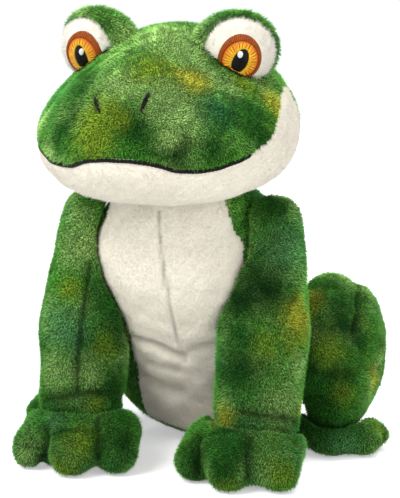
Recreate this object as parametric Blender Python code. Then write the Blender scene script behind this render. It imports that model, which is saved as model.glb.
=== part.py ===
"""A seated plush frog: sewn skins over stuffed forms, in metres, +Z up, nose towards -Y.

The frog's own left is +X. Every skin is an open shell with its stuffing inside it. The head, arms,
paws, legs and feet each hang on an empty that stands on their joint's axis.
"""

import math

import bmesh
import bpy
from mathutils import Euler, Matrix, Vector

# Fabric, gaps and seams
CLOTH = 0.003
GAP = 0.0003
TURNING_GAP = 0.0009
STUFFING_GAP = 0.0005
NECK_GAP = 0.00095
SOCKET_GAP = 0.0013
FLOOR_FLAT = 0.0018
OVERRUN = 0.060
PIPING_RADIUS = 0.0010
STITCH_HEIGHT = 0.0009

# Body: a chest and a seat that are each round about an axis along X, and a round neck
SEAT_RADIUS = 0.060
SEAT_HALF_WIDTH = 0.070
SEAT_BACK = 0.008
CHEST_RADIUS = 0.056
CHEST_HALF_WIDTH = 0.061
CHEST_FORWARD = 0.036
CHEST_HEIGHT = 0.127
NECK_RADIUS = 0.044
NECK_FORWARD = 0.050
NECK_HEIGHT = 0.156
NECK_DISC_RISE = 0.024
PELLET_DEPTH = 0.026
PANEL_HALF_WIDTH = 0.053
PANEL_HEIGHT = 0.176

# Head
HEAD_BACK = 0.004
HEAD_LENGTH = 0.161
HEAD_HALF_WIDTH = 0.078
HEAD_BOTTOM = 0.166
HEAD_HEIGHT = 0.107
CROWN_FULLNESS = 1.65
JAW_FULLNESS = 2.6
NOSTRIL_HALF_LENGTH = 0.0064
NOSTRIL_HALF_WIDTH = 0.0011
NOSTRIL_APART = 0.0145
NOSTRIL_LEAN = math.radians(12)
NOSTRIL_SLOPE = math.radians(52)
CHIN_BACK = 0.046

# Eyes
EYE_APART = 0.0437
EYE_FORWARD = 0.078
EYE_HEIGHT = 0.256
EYE_HALF_WIDTH = 0.0222
EYE_HALF_DEPTH = 0.0185
EYE_HALF_HEIGHT = 0.0207
EYE_OUTWARD = math.radians(19)
EYE_DOWNWARD = math.radians(9)
EYE_TILT = math.radians(24)
SOCKET_APART = 0.050
SOCKET_FORWARD = 0.097
SOCKET_HEIGHT = 0.244
SOCKET_RADIUS = 0.024
SOCKET_DEPTH = 0.009
LID_CLOTH = 0.0028
LID_REACH = 0.004
IRIS_RIM_HALF_WIDTH = 0.0122
IRIS_RIM_HALF_HEIGHT = 0.0134
IRIS_RIM_WIDTH = 0.0016
PUPIL_HALF_WIDTH = 0.0043
PUPIL_HALF_HEIGHT = 0.0077
GLINT_RADIUS = 0.0023
GLINT_SIDE = 0.0004
GLINT_RISE = 0.0040

# Arms and paws
SHOULDER_APART = 0.057
SHOULDER_FORWARD = 0.050
SHOULDER_HEIGHT = 0.148
SHOULDER_RADIUS = 0.0205
ELBOW_APART = 0.057
ELBOW_FORWARD = 0.067
ELBOW_HEIGHT = 0.088
ELBOW_RADIUS = 0.0290
WRIST_APART = 0.056
WRIST_FORWARD = 0.076
WRIST_HEIGHT = 0.038
WRIST_RADIUS = 0.0270
PAW_APART = 0.052
PAW_FORWARD = 0.088
PAW_HALF_WIDTH = 0.039
PAW_HALF_LENGTH = 0.033
PAW_HALF_HEIGHT = 0.0225
TOE_HALF_HEIGHT = 0.0155
TOE_ROOT_RISE = 0.0065

# Legs and feet
THIGH_APART = 0.076
THIGH_BACK = 0.014
THIGH_HEIGHT = 0.064
THIGH_HALF_WIDTH = 0.026
THIGH_HALF_LENGTH = 0.046
THIGH_HALF_HEIGHT = 0.046
SHANK_APART = 0.0905
SHANK_BACK = 0.024
SHANK_HEIGHT = 0.057
SHANK_HALF_WIDTH = 0.0205
SHANK_HALF_LENGTH = 0.037
SHANK_HALF_HEIGHT = 0.045
ANKLE_APART = 0.087
ANKLE_FORWARD = 0.009
ANKLE_HEIGHT = 0.029
ANKLE_RADIUS = 0.019
FOOT_HALF_WIDTH = 0.031
FOOT_HALF_LENGTH = 0.024
FOOT_HALF_HEIGHT = 0.0145
FOOT_TOE_HALF_HEIGHT = 0.0115

# Head sections from the back to the nose: how far along the head's length, then the half width, the
# top, the widest level and the bottom as shares of the head's half width and height.
HEAD_SECTION_SHARES = (
    (0.040, 0.50, 0.83, 0.50, 0.20),
    (0.120, 0.76, 0.92, 0.47, 0.08),
    (0.240, 0.94, 0.97, 0.45, 0.015),
    (0.380, 1.00, 0.98, 0.43, 0.000),
    (0.520, 0.985, 0.96, 0.42, 0.000),
    (0.640, 0.92, 0.90, 0.40, 0.010),
    (0.750, 0.81, 0.82, 0.39, 0.040),
    (0.850, 0.64, 0.74, 0.385, 0.095),
    (0.925, 0.46, 0.655, 0.385, 0.155),
    (0.975, 0.26, 0.55, 0.39, 0.235),
)
HEAD_POLE_SHARES = (0.52, 0.39)
# The seam between the green face and the cream jaw, as shares of the head's length and height
MOUTH_SHARES = (
    (1.020, 0.333),
    (0.975, 0.329),
    (0.920, 0.276),
    (0.870, 0.266),
    (0.820, 0.277),
    (0.760, 0.303),
    (0.680, 0.352),
    (0.600, 0.418),
    (0.500, 0.530),
    (0.410, 0.640),
    (0.320, 0.700),
)
PIPING_END_SHARE = 0.71
NOSTRIL_ALONG_SHARE = 0.905
# The cream panel from the neck to the seat: half widths and heights
PANEL_SHARES = (
    (0.80, 1.00),
    (0.92, 0.92),
    (1.00, 0.82),
    (0.97, 0.74),
    (0.84, 0.65),
    (0.66, 0.57),
    (0.56, 0.48),
    (0.52, 0.34),
    (0.47, 0.18),
    (0.40, 0.00),
)
# Toes: place outward and forward from the paw's middle, then the half sizes, in the paw's half sizes
PAW_TOE_SHARES = (
    (-0.70, 0.34, 0.36, 0.46),
    (-0.06, 0.74, 0.38, 0.46),
    (0.68, 0.46, 0.36, 0.46),
)
FOOT_TOE_SHARES = (
    (0.70, -0.40, 0.42, 0.44),
    (0.66, 0.36, 0.44, 0.44),
    (0.02, 0.68, 0.46, 0.42),
)
TOE_ROOT_SHARE = 0.55

# Facets round and along each form, outside and inside
BODY_FACETS = (22, 11)
BODY_INNER_FACETS = (14, 7)
LIMB_FACETS = (14, 7)
LIMB_INNER_FACETS = (10, 6)
TOE_FACETS = (8, 5)
TOE_INNER_FACETS = (6, 4)
EYE_FACETS = (14, 9)
HEAD_AROUND = 24
HEAD_INNER_AROUND = 12
CAP_RINGS = 3
PIPING_POINTS = 22
PIPING_SIDES = 5
MEND_STEPS = 40

GREEN = (0.060, 0.170, 0.045, 1.0)
CREAM = (0.830, 0.760, 0.610, 1.0)
EYE_WHITE = (0.850, 0.800, 0.680, 1.0)
BLACK = (0.012, 0.011, 0.011, 1.0)
AMBER = (0.800, 0.300, 0.020, 1.0)
MAROON = (0.130, 0.030, 0.015, 1.0)
WHITE = (0.900, 0.900, 0.880, 1.0)
FIBRE = (0.800, 0.800, 0.780, 1.0)
PELLETS = (0.600, 0.600, 0.580, 1.0)


def clear_scene():
    for obj in list(bpy.data.objects):
        bpy.data.objects.remove(obj, do_unlink=True)


def material(name, colour, roughness):
    mat = bpy.data.materials.new(name)
    mat.use_nodes = True
    shader = mat.node_tree.nodes["Principled BSDF"]
    shader.inputs["Base Color"].default_value = colour
    shader.inputs["Roughness"].default_value = roughness
    shader.inputs["Metallic"].default_value = 0.0
    return mat


def mesh_object(name, bm):
    """A new object that holds this bmesh, with every face pointing out."""
    bmesh.ops.recalc_face_normals(bm, faces=bm.faces)
    if bm.calc_volume(signed=True) < 0:
        bmesh.ops.reverse_faces(bm, faces=bm.faces)
    mesh = bpy.data.meshes.new(name)
    bm.to_mesh(mesh)
    bm.free()
    obj = bpy.data.objects.new(name, mesh)
    bpy.context.scene.collection.objects.link(obj)
    return obj


def combined(first, second, operation, solver="EXACT"):
    """The first object after a Boolean with the second, which is removed."""
    modifier = first.modifiers.new(operation.title(), "BOOLEAN")
    modifier.operation = operation
    modifier.solver = solver
    modifier.object = second
    graph = bpy.context.evaluated_depsgraph_get()
    made = bpy.data.meshes.new_from_object(first.evaluated_get(graph))
    first.modifiers.clear()
    first.data = made
    bpy.data.objects.remove(second, do_unlink=True)
    return first


def less(first, *cutters, solver="EXACT"):
    for cutter in cutters:
        combined(first, cutter, "DIFFERENCE", solver)
    return first


def within(first, cutter):
    return combined(first, cutter, "INTERSECT")


def joined(first, *others, solver="EXACT"):
    for other in others:
        combined(first, other, "UNION", solver)
    return first


def ball(centre, radii, facets, grow=0.0, turn=(0.0, 0.0, 0.0)):
    """A closed ellipsoid with its poles along X, each radius larger by grow."""
    bm = bmesh.new()
    bmesh.ops.create_uvsphere(bm, u_segments=facets[0], v_segments=facets[1], radius=1.0)
    size = Matrix.Diagonal([radius + grow for radius in radii] + [1.0])
    poles_to_x = Matrix.Rotation(math.pi / 2, 4, "Y")
    place = Matrix.Translation(centre) @ Euler(turn).to_matrix().to_4x4()
    bm.transform(place @ size @ poles_to_x)
    return mesh_object("form", bm)


def ringed(rings, first_pole, last_pole):
    """A closed surface through rings of points, with a point at each end."""
    bm = bmesh.new()
    rows = [[bm.verts.new(point) for point in ring] for ring in rings]
    ends = ((bm.verts.new(first_pole), rows[0]), (bm.verts.new(last_pole), rows[-1]))
    around = len(rows[0])
    for row, after in zip(rows, rows[1:]):
        for i in range(around):
            j = (i + 1) % around
            bm.faces.new((row[i], row[j], after[j]))
            bm.faces.new((row[i], after[j], after[i]))
    for pole, row in ends:
        for i in range(around):
            bm.faces.new((pole, row[i], row[(i + 1) % around]))
    return mesh_object("form", bm)


def limb(points, radii, facets, grow=0.0):
    """A stuffed tube through these points, with a half ball at each end."""
    around = facets[0]
    points = [Vector(point) for point in points]
    radii = [radius + grow for radius in radii]
    steps = [(b - a).normalized() for a, b in zip(points, points[1:])]
    ways = [steps[0]] + [(a + b).normalized() for a, b in zip(steps, steps[1:])] + [steps[-1]]
    stations = []
    for k in range(CAP_RINGS, 0, -1):
        angle = math.pi / 2 * k / (CAP_RINGS + 1)
        stations.append(
            (points[0] - ways[0] * radii[0] * math.sin(angle), ways[0], radii[0] * math.cos(angle))
        )
    stations += list(zip(points, ways, radii))
    for k in range(1, CAP_RINGS + 1):
        angle = math.pi / 2 * k / (CAP_RINGS + 1)
        stations.append(
            (points[-1] + ways[-1] * radii[-1] * math.sin(angle), ways[-1], radii[-1] * math.cos(angle))
        )
    rings = []
    for centre, way, radius in stations:
        side = Vector((1.0, 0.0, 0.0))
        side = (side - way * side.dot(way)).normalized()
        other = way.cross(side)
        angles = [2 * math.pi * i / around for i in range(around)]
        rings.append([centre + (side * math.cos(a) + other * math.sin(a)) * radius for a in angles])
    start = points[0] - ways[0] * radii[0]
    end = points[-1] + ways[-1] * radii[-1]
    return ringed(rings, start, end)


def hulled(*forms):
    """The smooth skin stretched over several forms, which are removed."""
    bm = bmesh.new()
    for form in forms:
        bm.from_mesh(form.data)
    found = bmesh.ops.convex_hull(bm, input=bm.verts, use_existing_faces=False)
    inside = {v for v in found["geom_interior"] if isinstance(v, bmesh.types.BMVert)}
    outside = {f for f in found["geom"] if isinstance(f, bmesh.types.BMFace)}
    bmesh.ops.delete(bm, geom=[f for f in bm.faces if f not in outside], context="FACES_ONLY")
    bmesh.ops.delete(bm, geom=list(inside), context="VERTS")
    for form in forms:
        bpy.data.objects.remove(form, do_unlink=True)
    return mesh_object("form", bm)


def slab(low, high):
    """A closed block between two corners."""
    bm = bmesh.new()
    bmesh.ops.create_cube(bm, size=1.0)
    low, high = Vector(low), Vector(high)
    size = Matrix.Diagonal(list(high - low) + [1.0])
    bm.transform(Matrix.Translation((low + high) / 2) @ size)
    return mesh_object("form", bm)


def below(level):
    """A block under this level that is wider than the frog."""
    wide = 2 * (HEAD_LENGTH + SEAT_RADIUS)
    return slab((-wide, -wide, level - wide), (wide, wide, level))


def prism(outline, axis, start, end):
    """An outline extruded along X or Y. Its points are the other two coordinates."""
    bm = bmesh.new()
    rows = []
    for along in (start, end):
        if axis == "X":
            rows.append([bm.verts.new((along, a, b)) for a, b in outline])
        else:
            rows.append([bm.verts.new((a, along, b)) for a, b in outline])
    bm.faces.new(rows[0])
    bm.faces.new(rows[1])
    count = len(outline)
    for i in range(count):
        j = (i + 1) % count
        bm.faces.new((rows[0][i], rows[0][j], rows[1][j], rows[1][i]))
    return mesh_object("form", bm)


SEAT_CENTRE = (0.0, SEAT_BACK, SEAT_RADIUS - FLOOR_FLAT)
CHEST_CENTRE = (0.0, -CHEST_FORWARD, CHEST_HEIGHT)
NECK_CENTRE = (0.0, -NECK_FORWARD, NECK_HEIGHT)


def seat_form(facets, grow=0.0):
    return ball(SEAT_CENTRE, (SEAT_HALF_WIDTH, SEAT_RADIUS, SEAT_RADIUS), facets, grow)


def chest_form(facets, grow=0.0):
    return ball(CHEST_CENTRE, (CHEST_HALF_WIDTH, CHEST_RADIUS, CHEST_RADIUS), facets, grow)


def neck_form(facets, grow=0.0):
    return ball(NECK_CENTRE, (NECK_RADIUS,) * 3, facets, grow)


def trunk_form(facets, grow=0.0):
    return hulled(seat_form(facets, grow), chest_form(facets, grow))


def body_form(facets, grow=0.0):
    return joined(trunk_form(facets, grow), neck_form(facets, grow))


def head_level(share):
    return HEAD_BOTTOM + HEAD_HEIGHT * share


def head_place(share):
    return -HEAD_BACK - HEAD_LENGTH * share


def head_section(along):
    """Half width, top, widest level and bottom of the head at this share of its length."""
    rows = HEAD_SECTION_SHARES
    for low, high in zip(rows, rows[1:]):
        if along <= high[0] or high is rows[-1]:
            t = min(max((along - low[0]) / (high[0] - low[0]), 0.0), 1.0)
            width, top, mid, bottom = (a + (b - a) * t for a, b in zip(low[1:], high[1:]))
            return width * HEAD_HALF_WIDTH, head_level(top), head_level(mid), head_level(bottom)


def socketed(point):
    """The point lowered where the head is hollow in front of and beside an eye."""
    centre = Vector((SOCKET_APART, -SOCKET_FORWARD, SOCKET_HEIGHT))
    away = (Vector((abs(point.x), point.y, point.z)) - centre).length
    down = SOCKET_DEPTH * math.exp(-((away / SOCKET_RADIUS) ** 2))
    return Vector((point.x, point.y, point.z - down))


def head_form(around, grow=0.0):
    """The head as rings of upright sections from its back to its nose."""
    rings = []
    for row in HEAD_SECTION_SHARES:
        width, top, mid, bottom = head_section(row[0])
        ring = []
        for i in range(around):
            angle = 2 * math.pi * i / around
            c, s = math.cos(angle), math.sin(angle)
            full, half = (CROWN_FULLNESS, top - mid) if s > 0 else (JAW_FULLNESS, mid - bottom)
            reach = (abs(c) ** full + abs(s) ** full) ** (-1 / full)
            spot = Vector((width * c * reach, head_place(row[0]), mid + half * s * reach))
            ring.append(socketed(spot))
        rings.append(ring)
    back = Vector((0.0, head_place(0.0), head_level(HEAD_POLE_SHARES[0])))
    nose = Vector((0.0, head_place(1.0), head_level(HEAD_POLE_SHARES[1])))
    obj = ringed(rings, back, nose)
    if grow:
        normals = [v.normal.copy() for v in obj.data.vertices]
        for vertex, normal in zip(obj.data.vertices, normals):
            vertex.co += normal * grow
    return obj


def mouth_level(along):
    for (a, low), (b, high) in zip(MOUTH_SHARES, MOUTH_SHARES[1:]):
        if b <= along <= a:
            return head_level(low + (high - low) * (a - along) / (a - b))
    return head_level(MOUTH_SHARES[0][1])


def head_half_width(along, level):
    """How far the head's side stands from the middle at this place and level."""
    width, top, mid, bottom = head_section(along)
    above = level > mid
    full, half = (CROWN_FULLNESS, top - mid) if above else (JAW_FULLNESS, mid - bottom)
    ratio = min(abs(level - mid) / half, 1.0)
    end = HEAD_SECTION_SHARES[-1][0]
    taper = 1.0 if along <= end else math.sqrt(max(1.0 - ((along - end) / (1.0 - end)) ** 2, 0.0))
    return width * taper * (1.0 - ratio**full) ** (1 / full)


def jaw_prism(grow=0.0):
    """The block below the mouth seam that holds the cream jaw."""
    line = [(head_place(a), head_level(h) + grow) for a, h in MOUTH_SHARES]
    front = (head_place(MOUTH_SHARES[0][0]) - OVERRUN, line[0][1])
    back = (-CHIN_BACK + grow, line[-1][1])
    floor = head_level(0.0) - OVERRUN
    outline = [front] + line + [back, (back[0], floor), (front[0], floor)]
    return prism(outline, "X", -HEAD_HALF_WIDTH - OVERRUN, HEAD_HALF_WIDTH + OVERRUN)


def piping_path():
    """Points on the head along the mouth, from the frog's right to its left."""
    widest = head_half_width(PIPING_END_SHARE, mouth_level(PIPING_END_SHARE))
    points = []
    for i in range(PIPING_POINTS + 1):
        x = widest * (2 * i / PIPING_POINTS - 1)
        near, far = PIPING_END_SHARE, 1.0
        for _ in range(MEND_STEPS):
            middle = (near + far) / 2
            if head_half_width(middle, mouth_level(middle)) > abs(x):
                near = middle
            else:
                far = middle
        points.append(Vector((x, head_place(near), mouth_level(near))))
    return points


def tube(points, radius, sides):
    rings = []
    for i, point in enumerate(points):
        before, after = points[max(i - 1, 0)], points[min(i + 1, len(points) - 1)]
        way = (after - before).normalized()
        side = way.cross(Vector((0.0, 0.0, 1.0))).normalized()
        up = side.cross(way)
        angles = [2 * math.pi * k / sides for k in range(sides)]
        rings.append([point + (side * math.cos(a) + up * math.sin(a)) * radius for a in angles])
    return ringed(rings, points[0], points[-1])


def panel_prism(grow=0.0):
    """The block in front of the body that holds the cream panel."""
    half = [(PANEL_HALF_WIDTH * w + grow, PANEL_HEIGHT * h + grow) for w, h in PANEL_SHARES]
    half[-1] = (half[-1][0], -OVERRUN)
    outline = half + [(-x, z) for x, z in reversed(half)]
    return prism(outline, "Y", -CHEST_FORWARD - CHEST_RADIUS - OVERRUN, -CHEST_FORWARD + SEAT_BACK)


def eye_turn(side):
    return Euler((EYE_DOWNWARD, 0.0, side * EYE_OUTWARD)).to_matrix().to_4x4()


def eye_place(side):
    return Vector((side * EYE_APART, -EYE_FORWARD, EYE_HEIGHT))


def eye_form(side, facets, grow=0.0):
    obj = ball((0.0,) * 3, (EYE_HALF_WIDTH, EYE_HALF_DEPTH, EYE_HALF_HEIGHT), facets, grow)
    obj.data.transform(Matrix.Translation(eye_place(side)) @ eye_turn(side))
    return obj


def gaze_cylinder(side, half_width, half_height, centre=(0.0, 0.0)):
    """An oval bar along the eye's gaze, tilted as the eye's stitching is."""
    bm = bmesh.new()
    bmesh.ops.create_cone(
        bm, cap_ends=True, segments=LIMB_FACETS[0], radius1=1.0, radius2=1.0, depth=1.0
    )
    size = Matrix.Diagonal((half_width, half_height, OVERRUN, 1.0))
    lie = Matrix.Rotation(math.pi / 2, 4, "X")
    tilt = Matrix.Rotation(side * EYE_TILT, 4, "Y")
    shift = Matrix.Translation((centre[0], -OVERRUN / 2, centre[1]))
    bm.transform(Matrix.Translation(eye_place(side)) @ eye_turn(side) @ tilt @ shift @ lie @ size)
    return mesh_object("form", bm)


def stitched(side, outer, hole=None):
    """A thin embroidered pad on the eye inside one oval and outside another."""
    pad = eye_form(side, EYE_FACETS, GAP + STITCH_HEIGHT)
    less(pad, eye_form(side, EYE_FACETS, GAP))
    within(pad, gaze_cylinder(side, *outer))
    if hole:
        less(pad, gaze_cylinder(side, *hole))
    return less(pad, head_form(HEAD_AROUND, GAP))


SHOULDER = (SHOULDER_APART, -SHOULDER_FORWARD, SHOULDER_HEIGHT)
ELBOW = (ELBOW_APART, -ELBOW_FORWARD, ELBOW_HEIGHT)
WRIST = (WRIST_APART, -WRIST_FORWARD, WRIST_HEIGHT)
ANKLE = (ANKLE_APART, -ANKLE_FORWARD, ANKLE_HEIGHT)
HEAD_TURNS = [(nod, 0, turn) for nod in (-7, 0, 7) for turn in (-15, 0, 15)]
ARM_SWINGS = [(swing, 0, 0) for swing in (0, 15, 30)]
LEG_SWINGS = [(swing, 0, 0) for swing in (0, 12)]
PAW_FLEXES = [(flex, 0, 0) for flex in (-10, 0, 10)]
FOOT_FLEXES = [(flex, 0, 0) for flex in (-8, 0, 8)]


def on_side(point, side):
    return (point[0] * side, point[1], point[2])


def arm_form(side, facets, grow=0.0):
    points = [on_side(point, side) for point in (SHOULDER, ELBOW, WRIST)]
    return limb(points, (SHOULDER_RADIUS, ELBOW_RADIUS, WRIST_RADIUS), facets, grow)


def toed_form(side, place, half_sizes, toe_half_height, rise, toes, facets, toe_facets, grow):
    """A palm or sole with its toes: ellipsoids that stand on the floor and run into each other."""
    half_width, half_length, half_height = half_sizes
    centre = (side * place[0], -place[1], half_height - FLOOR_FLAT)
    form = ball(centre, half_sizes, facets, grow)
    for outward, forward, wide, long in toes:
        toe = (
            side * (place[0] + half_width * outward),
            -place[1] - half_length * forward,
            toe_half_height - FLOOR_FLAT,
        )
        sizes = (half_width * wide, half_length * long, toe_half_height)
        root = tuple(TOE_ROOT_SHARE * a + (1 - TOE_ROOT_SHARE) * b for a, b in zip(centre, toe))
        root = (root[0], root[1], toe[2] + rise)
        joined(form, hulled(ball(toe, sizes, toe_facets, grow), ball(root, sizes, toe_facets, grow)))
    return form


def paw_form(side, facets, toe_facets, grow=0.0):
    sizes = (PAW_HALF_WIDTH, PAW_HALF_LENGTH, PAW_HALF_HEIGHT)
    place = (PAW_APART, PAW_FORWARD)
    return toed_form(
        side, place, sizes, TOE_HALF_HEIGHT, TOE_ROOT_RISE, PAW_TOE_SHARES, facets, toe_facets, grow
    )


def foot_form(side, facets, toe_facets, grow=0.0):
    sizes = (FOOT_HALF_WIDTH, FOOT_HALF_LENGTH, FOOT_HALF_HEIGHT)
    place = (ANKLE_APART, ANKLE_FORWARD)
    return toed_form(
        side, place, sizes, FOOT_TOE_HALF_HEIGHT, 0.0, FOOT_TOE_SHARES, facets, toe_facets, grow
    )


def leg_form(side, facets, grow=0.0):
    thigh = ball(
        (side * THIGH_APART, THIGH_BACK, THIGH_HEIGHT),
        (THIGH_HALF_WIDTH, THIGH_HALF_LENGTH, THIGH_HALF_HEIGHT),
        facets,
        grow,
    )
    shank = ball(
        (side * SHANK_APART, SHANK_BACK, SHANK_HEIGHT),
        (SHANK_HALF_WIDTH, SHANK_HALF_LENGTH, SHANK_HALF_HEIGHT),
        facets,
        grow,
    )
    ankle = ball(on_side(ANKLE, side), (ANKLE_RADIUS,) * 3, facets, grow)
    return joined(thigh, hulled(shank, ankle))


def turned(obj, pivot, turn):
    """The object's mesh turned about a point, angles in degrees."""
    pivot = Vector(pivot)
    spin = Euler([math.radians(angle) for angle in turn]).to_matrix().to_4x4()
    obj.data.transform(Matrix.Translation(pivot) @ spin @ Matrix.Translation(-pivot))
    return obj


def pivot_empty(name, point, parent):
    """An empty on a joint's axis, placed in the frog's own coordinates."""
    empty = bpy.data.objects.new(name, None)
    bpy.context.scene.collection.objects.link(empty)
    empty.parent = parent
    empty["place"] = list(point)
    empty.location = Vector(point) - (Vector(parent["place"]) if parent else Vector())
    return empty


def finished(obj, name, parent, mat):
    """Names the piece, hangs it on its empty and gives it its material."""
    obj.name = name
    obj.data.name = name
    obj.data.transform(Matrix.Translation(-Vector(parent["place"])))
    obj.parent = parent
    obj.data.materials.clear()
    obj.data.materials.append(mat)
    obj.data.shade_smooth()
    obj.data.set_sharp_from_angle(angle=math.radians(40))
    return obj


def make_body(root, mats):
    cover = less(body_form(BODY_FACETS), body_form(BODY_INNER_FACETS, -CLOTH), below(0.0))
    panel = less(body_form(BODY_FACETS), body_form(BODY_INNER_FACETS, -CLOTH), below(0.0))
    less(cover, panel_prism(GAP))
    within(panel, panel_prism())
    inner = -CLOTH - STUFFING_GAP
    pellet_top = PELLET_DEPTH
    stuffing = less(body_form(BODY_INNER_FACETS, inner), below(pellet_top + GAP))
    pellets = within(seat_form(BODY_INNER_FACETS, inner), below(pellet_top))
    finished(cover, "body_cover", root, mats["green"])
    finished(panel, "belly_panel", root, mats["cream"])
    finished(stuffing, "body_stuffing", root, mats["fibre"])
    finished(pellets, "pellet_bag", root, mats["pellets"])


def swept(form, pivot, swings):
    """The room that a form of the body takes as a piece beside it turns on this pivot."""
    return hulled(*(turned(form(BODY_FACETS, TURNING_GAP), pivot, swing) for swing in swings))


def make_head(neck, head, mats):
    disc = less(
        neck_form(BODY_FACETS, CLOTH + NECK_GAP),
        neck_form(BODY_FACETS, NECK_GAP),
        below(NECK_HEIGHT + NECK_DISC_RISE),
    )
    finished(disc, "neck_disc", neck, mats["green"])
    outer = head_form(HEAD_AROUND)
    less(outer, head_form(HEAD_INNER_AROUND, -CLOTH))
    less(outer, neck_form(BODY_FACETS, CLOTH + 2 * NECK_GAP))
    less(outer, swept(chest_form, NECK_CENTRE, HEAD_TURNS))
    chin = outer.copy()
    chin.data = outer.data.copy()
    bpy.context.scene.collection.objects.link(chin)
    path = piping_path()
    groove = PIPING_RADIUS + GAP
    less(outer, jaw_prism(GAP), tube(path, groove, PIPING_SIDES))
    less(within(chin, jaw_prism()), tube(path, groove, PIPING_SIDES))
    for side, word in ((1, "left"), (-1, "right")):
        along = NOSTRIL_ALONG_SHARE
        width, top, mid, _ = head_section(along)
        share = NOSTRIL_APART / width
        level = mid + (top - mid) * (1 - share**CROWN_FULLNESS) ** (1 / CROWN_FULLNESS)
        place = (side * NOSTRIL_APART, head_place(along), level)
        sizes = (NOSTRIL_HALF_WIDTH, NOSTRIL_HALF_LENGTH, NOSTRIL_HALF_WIDTH)
        turn = (NOSTRIL_SLOPE, 0.0, side * NOSTRIL_LEAN)
        less(outer, ball(place, sizes, TOE_FACETS, GAP, turn))
        slit = ball(place, sizes, TOE_FACETS, 0.0, turn)
        finished(slit, "nostril_" + word, head, mats["black"])
    inner = -CLOTH - STUFFING_GAP
    stuffing = head_form(HEAD_INNER_AROUND, inner)
    less(stuffing, neck_form(BODY_FACETS, CLOTH + 2 * NECK_GAP))
    less(stuffing, swept(chest_form, NECK_CENTRE, HEAD_TURNS))
    finished(outer, "head_cover", head, mats["green"])
    finished(chin, "chin_cover", head, mats["cream"])
    finished(stuffing, "head_stuffing", head, mats["fibre"])
    finished(tube(path, PIPING_RADIUS, PIPING_SIDES), "mouth_piping", head, mats["black"])


def make_eye(side, word, head, mats):
    socket = head_form(HEAD_AROUND, GAP)
    ground = [socket.copy() for _ in range(3)]
    for copy in ground:
        copy.data = socket.data.copy()
        bpy.context.scene.collection.objects.link(copy)
    bpy.data.objects.remove(socket, do_unlink=True)
    cover = less(eye_form(side, EYE_FACETS), eye_form(side, LIMB_INNER_FACETS, -CLOTH), ground[0])
    stuffing = less(eye_form(side, LIMB_INNER_FACETS, -CLOTH - STUFFING_GAP), ground[1])
    lid = less(
        eye_form(side, EYE_FACETS, LID_CLOTH + GAP), eye_form(side, EYE_FACETS, GAP), ground[2]
    )
    front = slab((-OVERRUN, -OVERRUN, -OVERRUN), (OVERRUN, -LID_REACH, OVERRUN))
    front.data.transform(Matrix.Translation(eye_place(side)) @ eye_turn(side))
    less(lid, front)
    rim_inner = (IRIS_RIM_HALF_WIDTH - IRIS_RIM_WIDTH, IRIS_RIM_HALF_HEIGHT - IRIS_RIM_WIDTH)
    iris_outer = (rim_inner[0] - GAP, rim_inner[1] - GAP)
    pupil_hole = (PUPIL_HALF_WIDTH + GAP, PUPIL_HALF_HEIGHT + GAP)
    glint_place = (side * GLINT_SIDE, GLINT_RISE)
    glint_hole = (GLINT_RADIUS + GAP, GLINT_RADIUS + GAP, glint_place)
    rim = stitched(side, (IRIS_RIM_HALF_WIDTH, IRIS_RIM_HALF_HEIGHT), rim_inner)
    iris = stitched(side, iris_outer, pupil_hole)
    pupil = stitched(side, (PUPIL_HALF_WIDTH, PUPIL_HALF_HEIGHT), glint_hole)
    glint = stitched(side, (GLINT_RADIUS, GLINT_RADIUS, glint_place))
    finished(cover, "eye_cover_" + word, head, mats["eye_white"])
    finished(stuffing, "eye_stuffing_" + word, head, mats["fibre"])
    finished(lid, "eyelid_" + word, head, mats["green"])
    finished(rim, "iris_rim_" + word, head, mats["maroon"])
    finished(iris, "iris_" + word, head, mats["amber"])
    finished(pupil, "pupil_" + word, head, mats["black"])
    finished(glint, "glint_" + word, head, mats["white"])


def make_arm(side, word, arm, paw, mats):
    cover = less(arm_form(side, LIMB_FACETS), arm_form(side, LIMB_INNER_FACETS, -CLOTH))
    stuffing = arm_form(side, LIMB_INNER_FACETS, -CLOTH - STUFFING_GAP)
    for form in (cover, stuffing):
        less(form, swept(neck_form, CHEST_CENTRE, ARM_SWINGS))
        less(form, trunk_form(BODY_FACETS, TURNING_GAP))
    finished(cover, "arm_cover_" + word, arm, mats["green"])
    finished(stuffing, "arm_stuffing_" + word, arm, mats["fibre"])
    wrist = on_side(WRIST, side)
    for name, form in (
        ("paw_cover_", shell(paw_form, side)),
        ("paw_stuffing_", paw_form(side, LIMB_INNER_FACETS, TOE_INNER_FACETS, -CLOTH - STUFFING_GAP)),
    ):
        less(form, ball(wrist, (WRIST_RADIUS,) * 3, LIMB_FACETS, SOCKET_GAP))
        less(form, swept_arm(side, wrist), below(0.0))
        finished(form, name + word, paw, mats["green" if "cover" in name else "fibre"])


def swept_arm(side, wrist):
    """The room that the arm takes as the paw flexes under it."""
    arms = (turned(arm_form(side, LIMB_FACETS, TURNING_GAP), wrist, flex) for flex in PAW_FLEXES)
    return hulled(*arms)


def shell(form, side):
    outer = form(side, LIMB_FACETS, TOE_FACETS)
    return less(outer, form(side, LIMB_INNER_FACETS, TOE_INNER_FACETS, -CLOTH))


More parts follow.
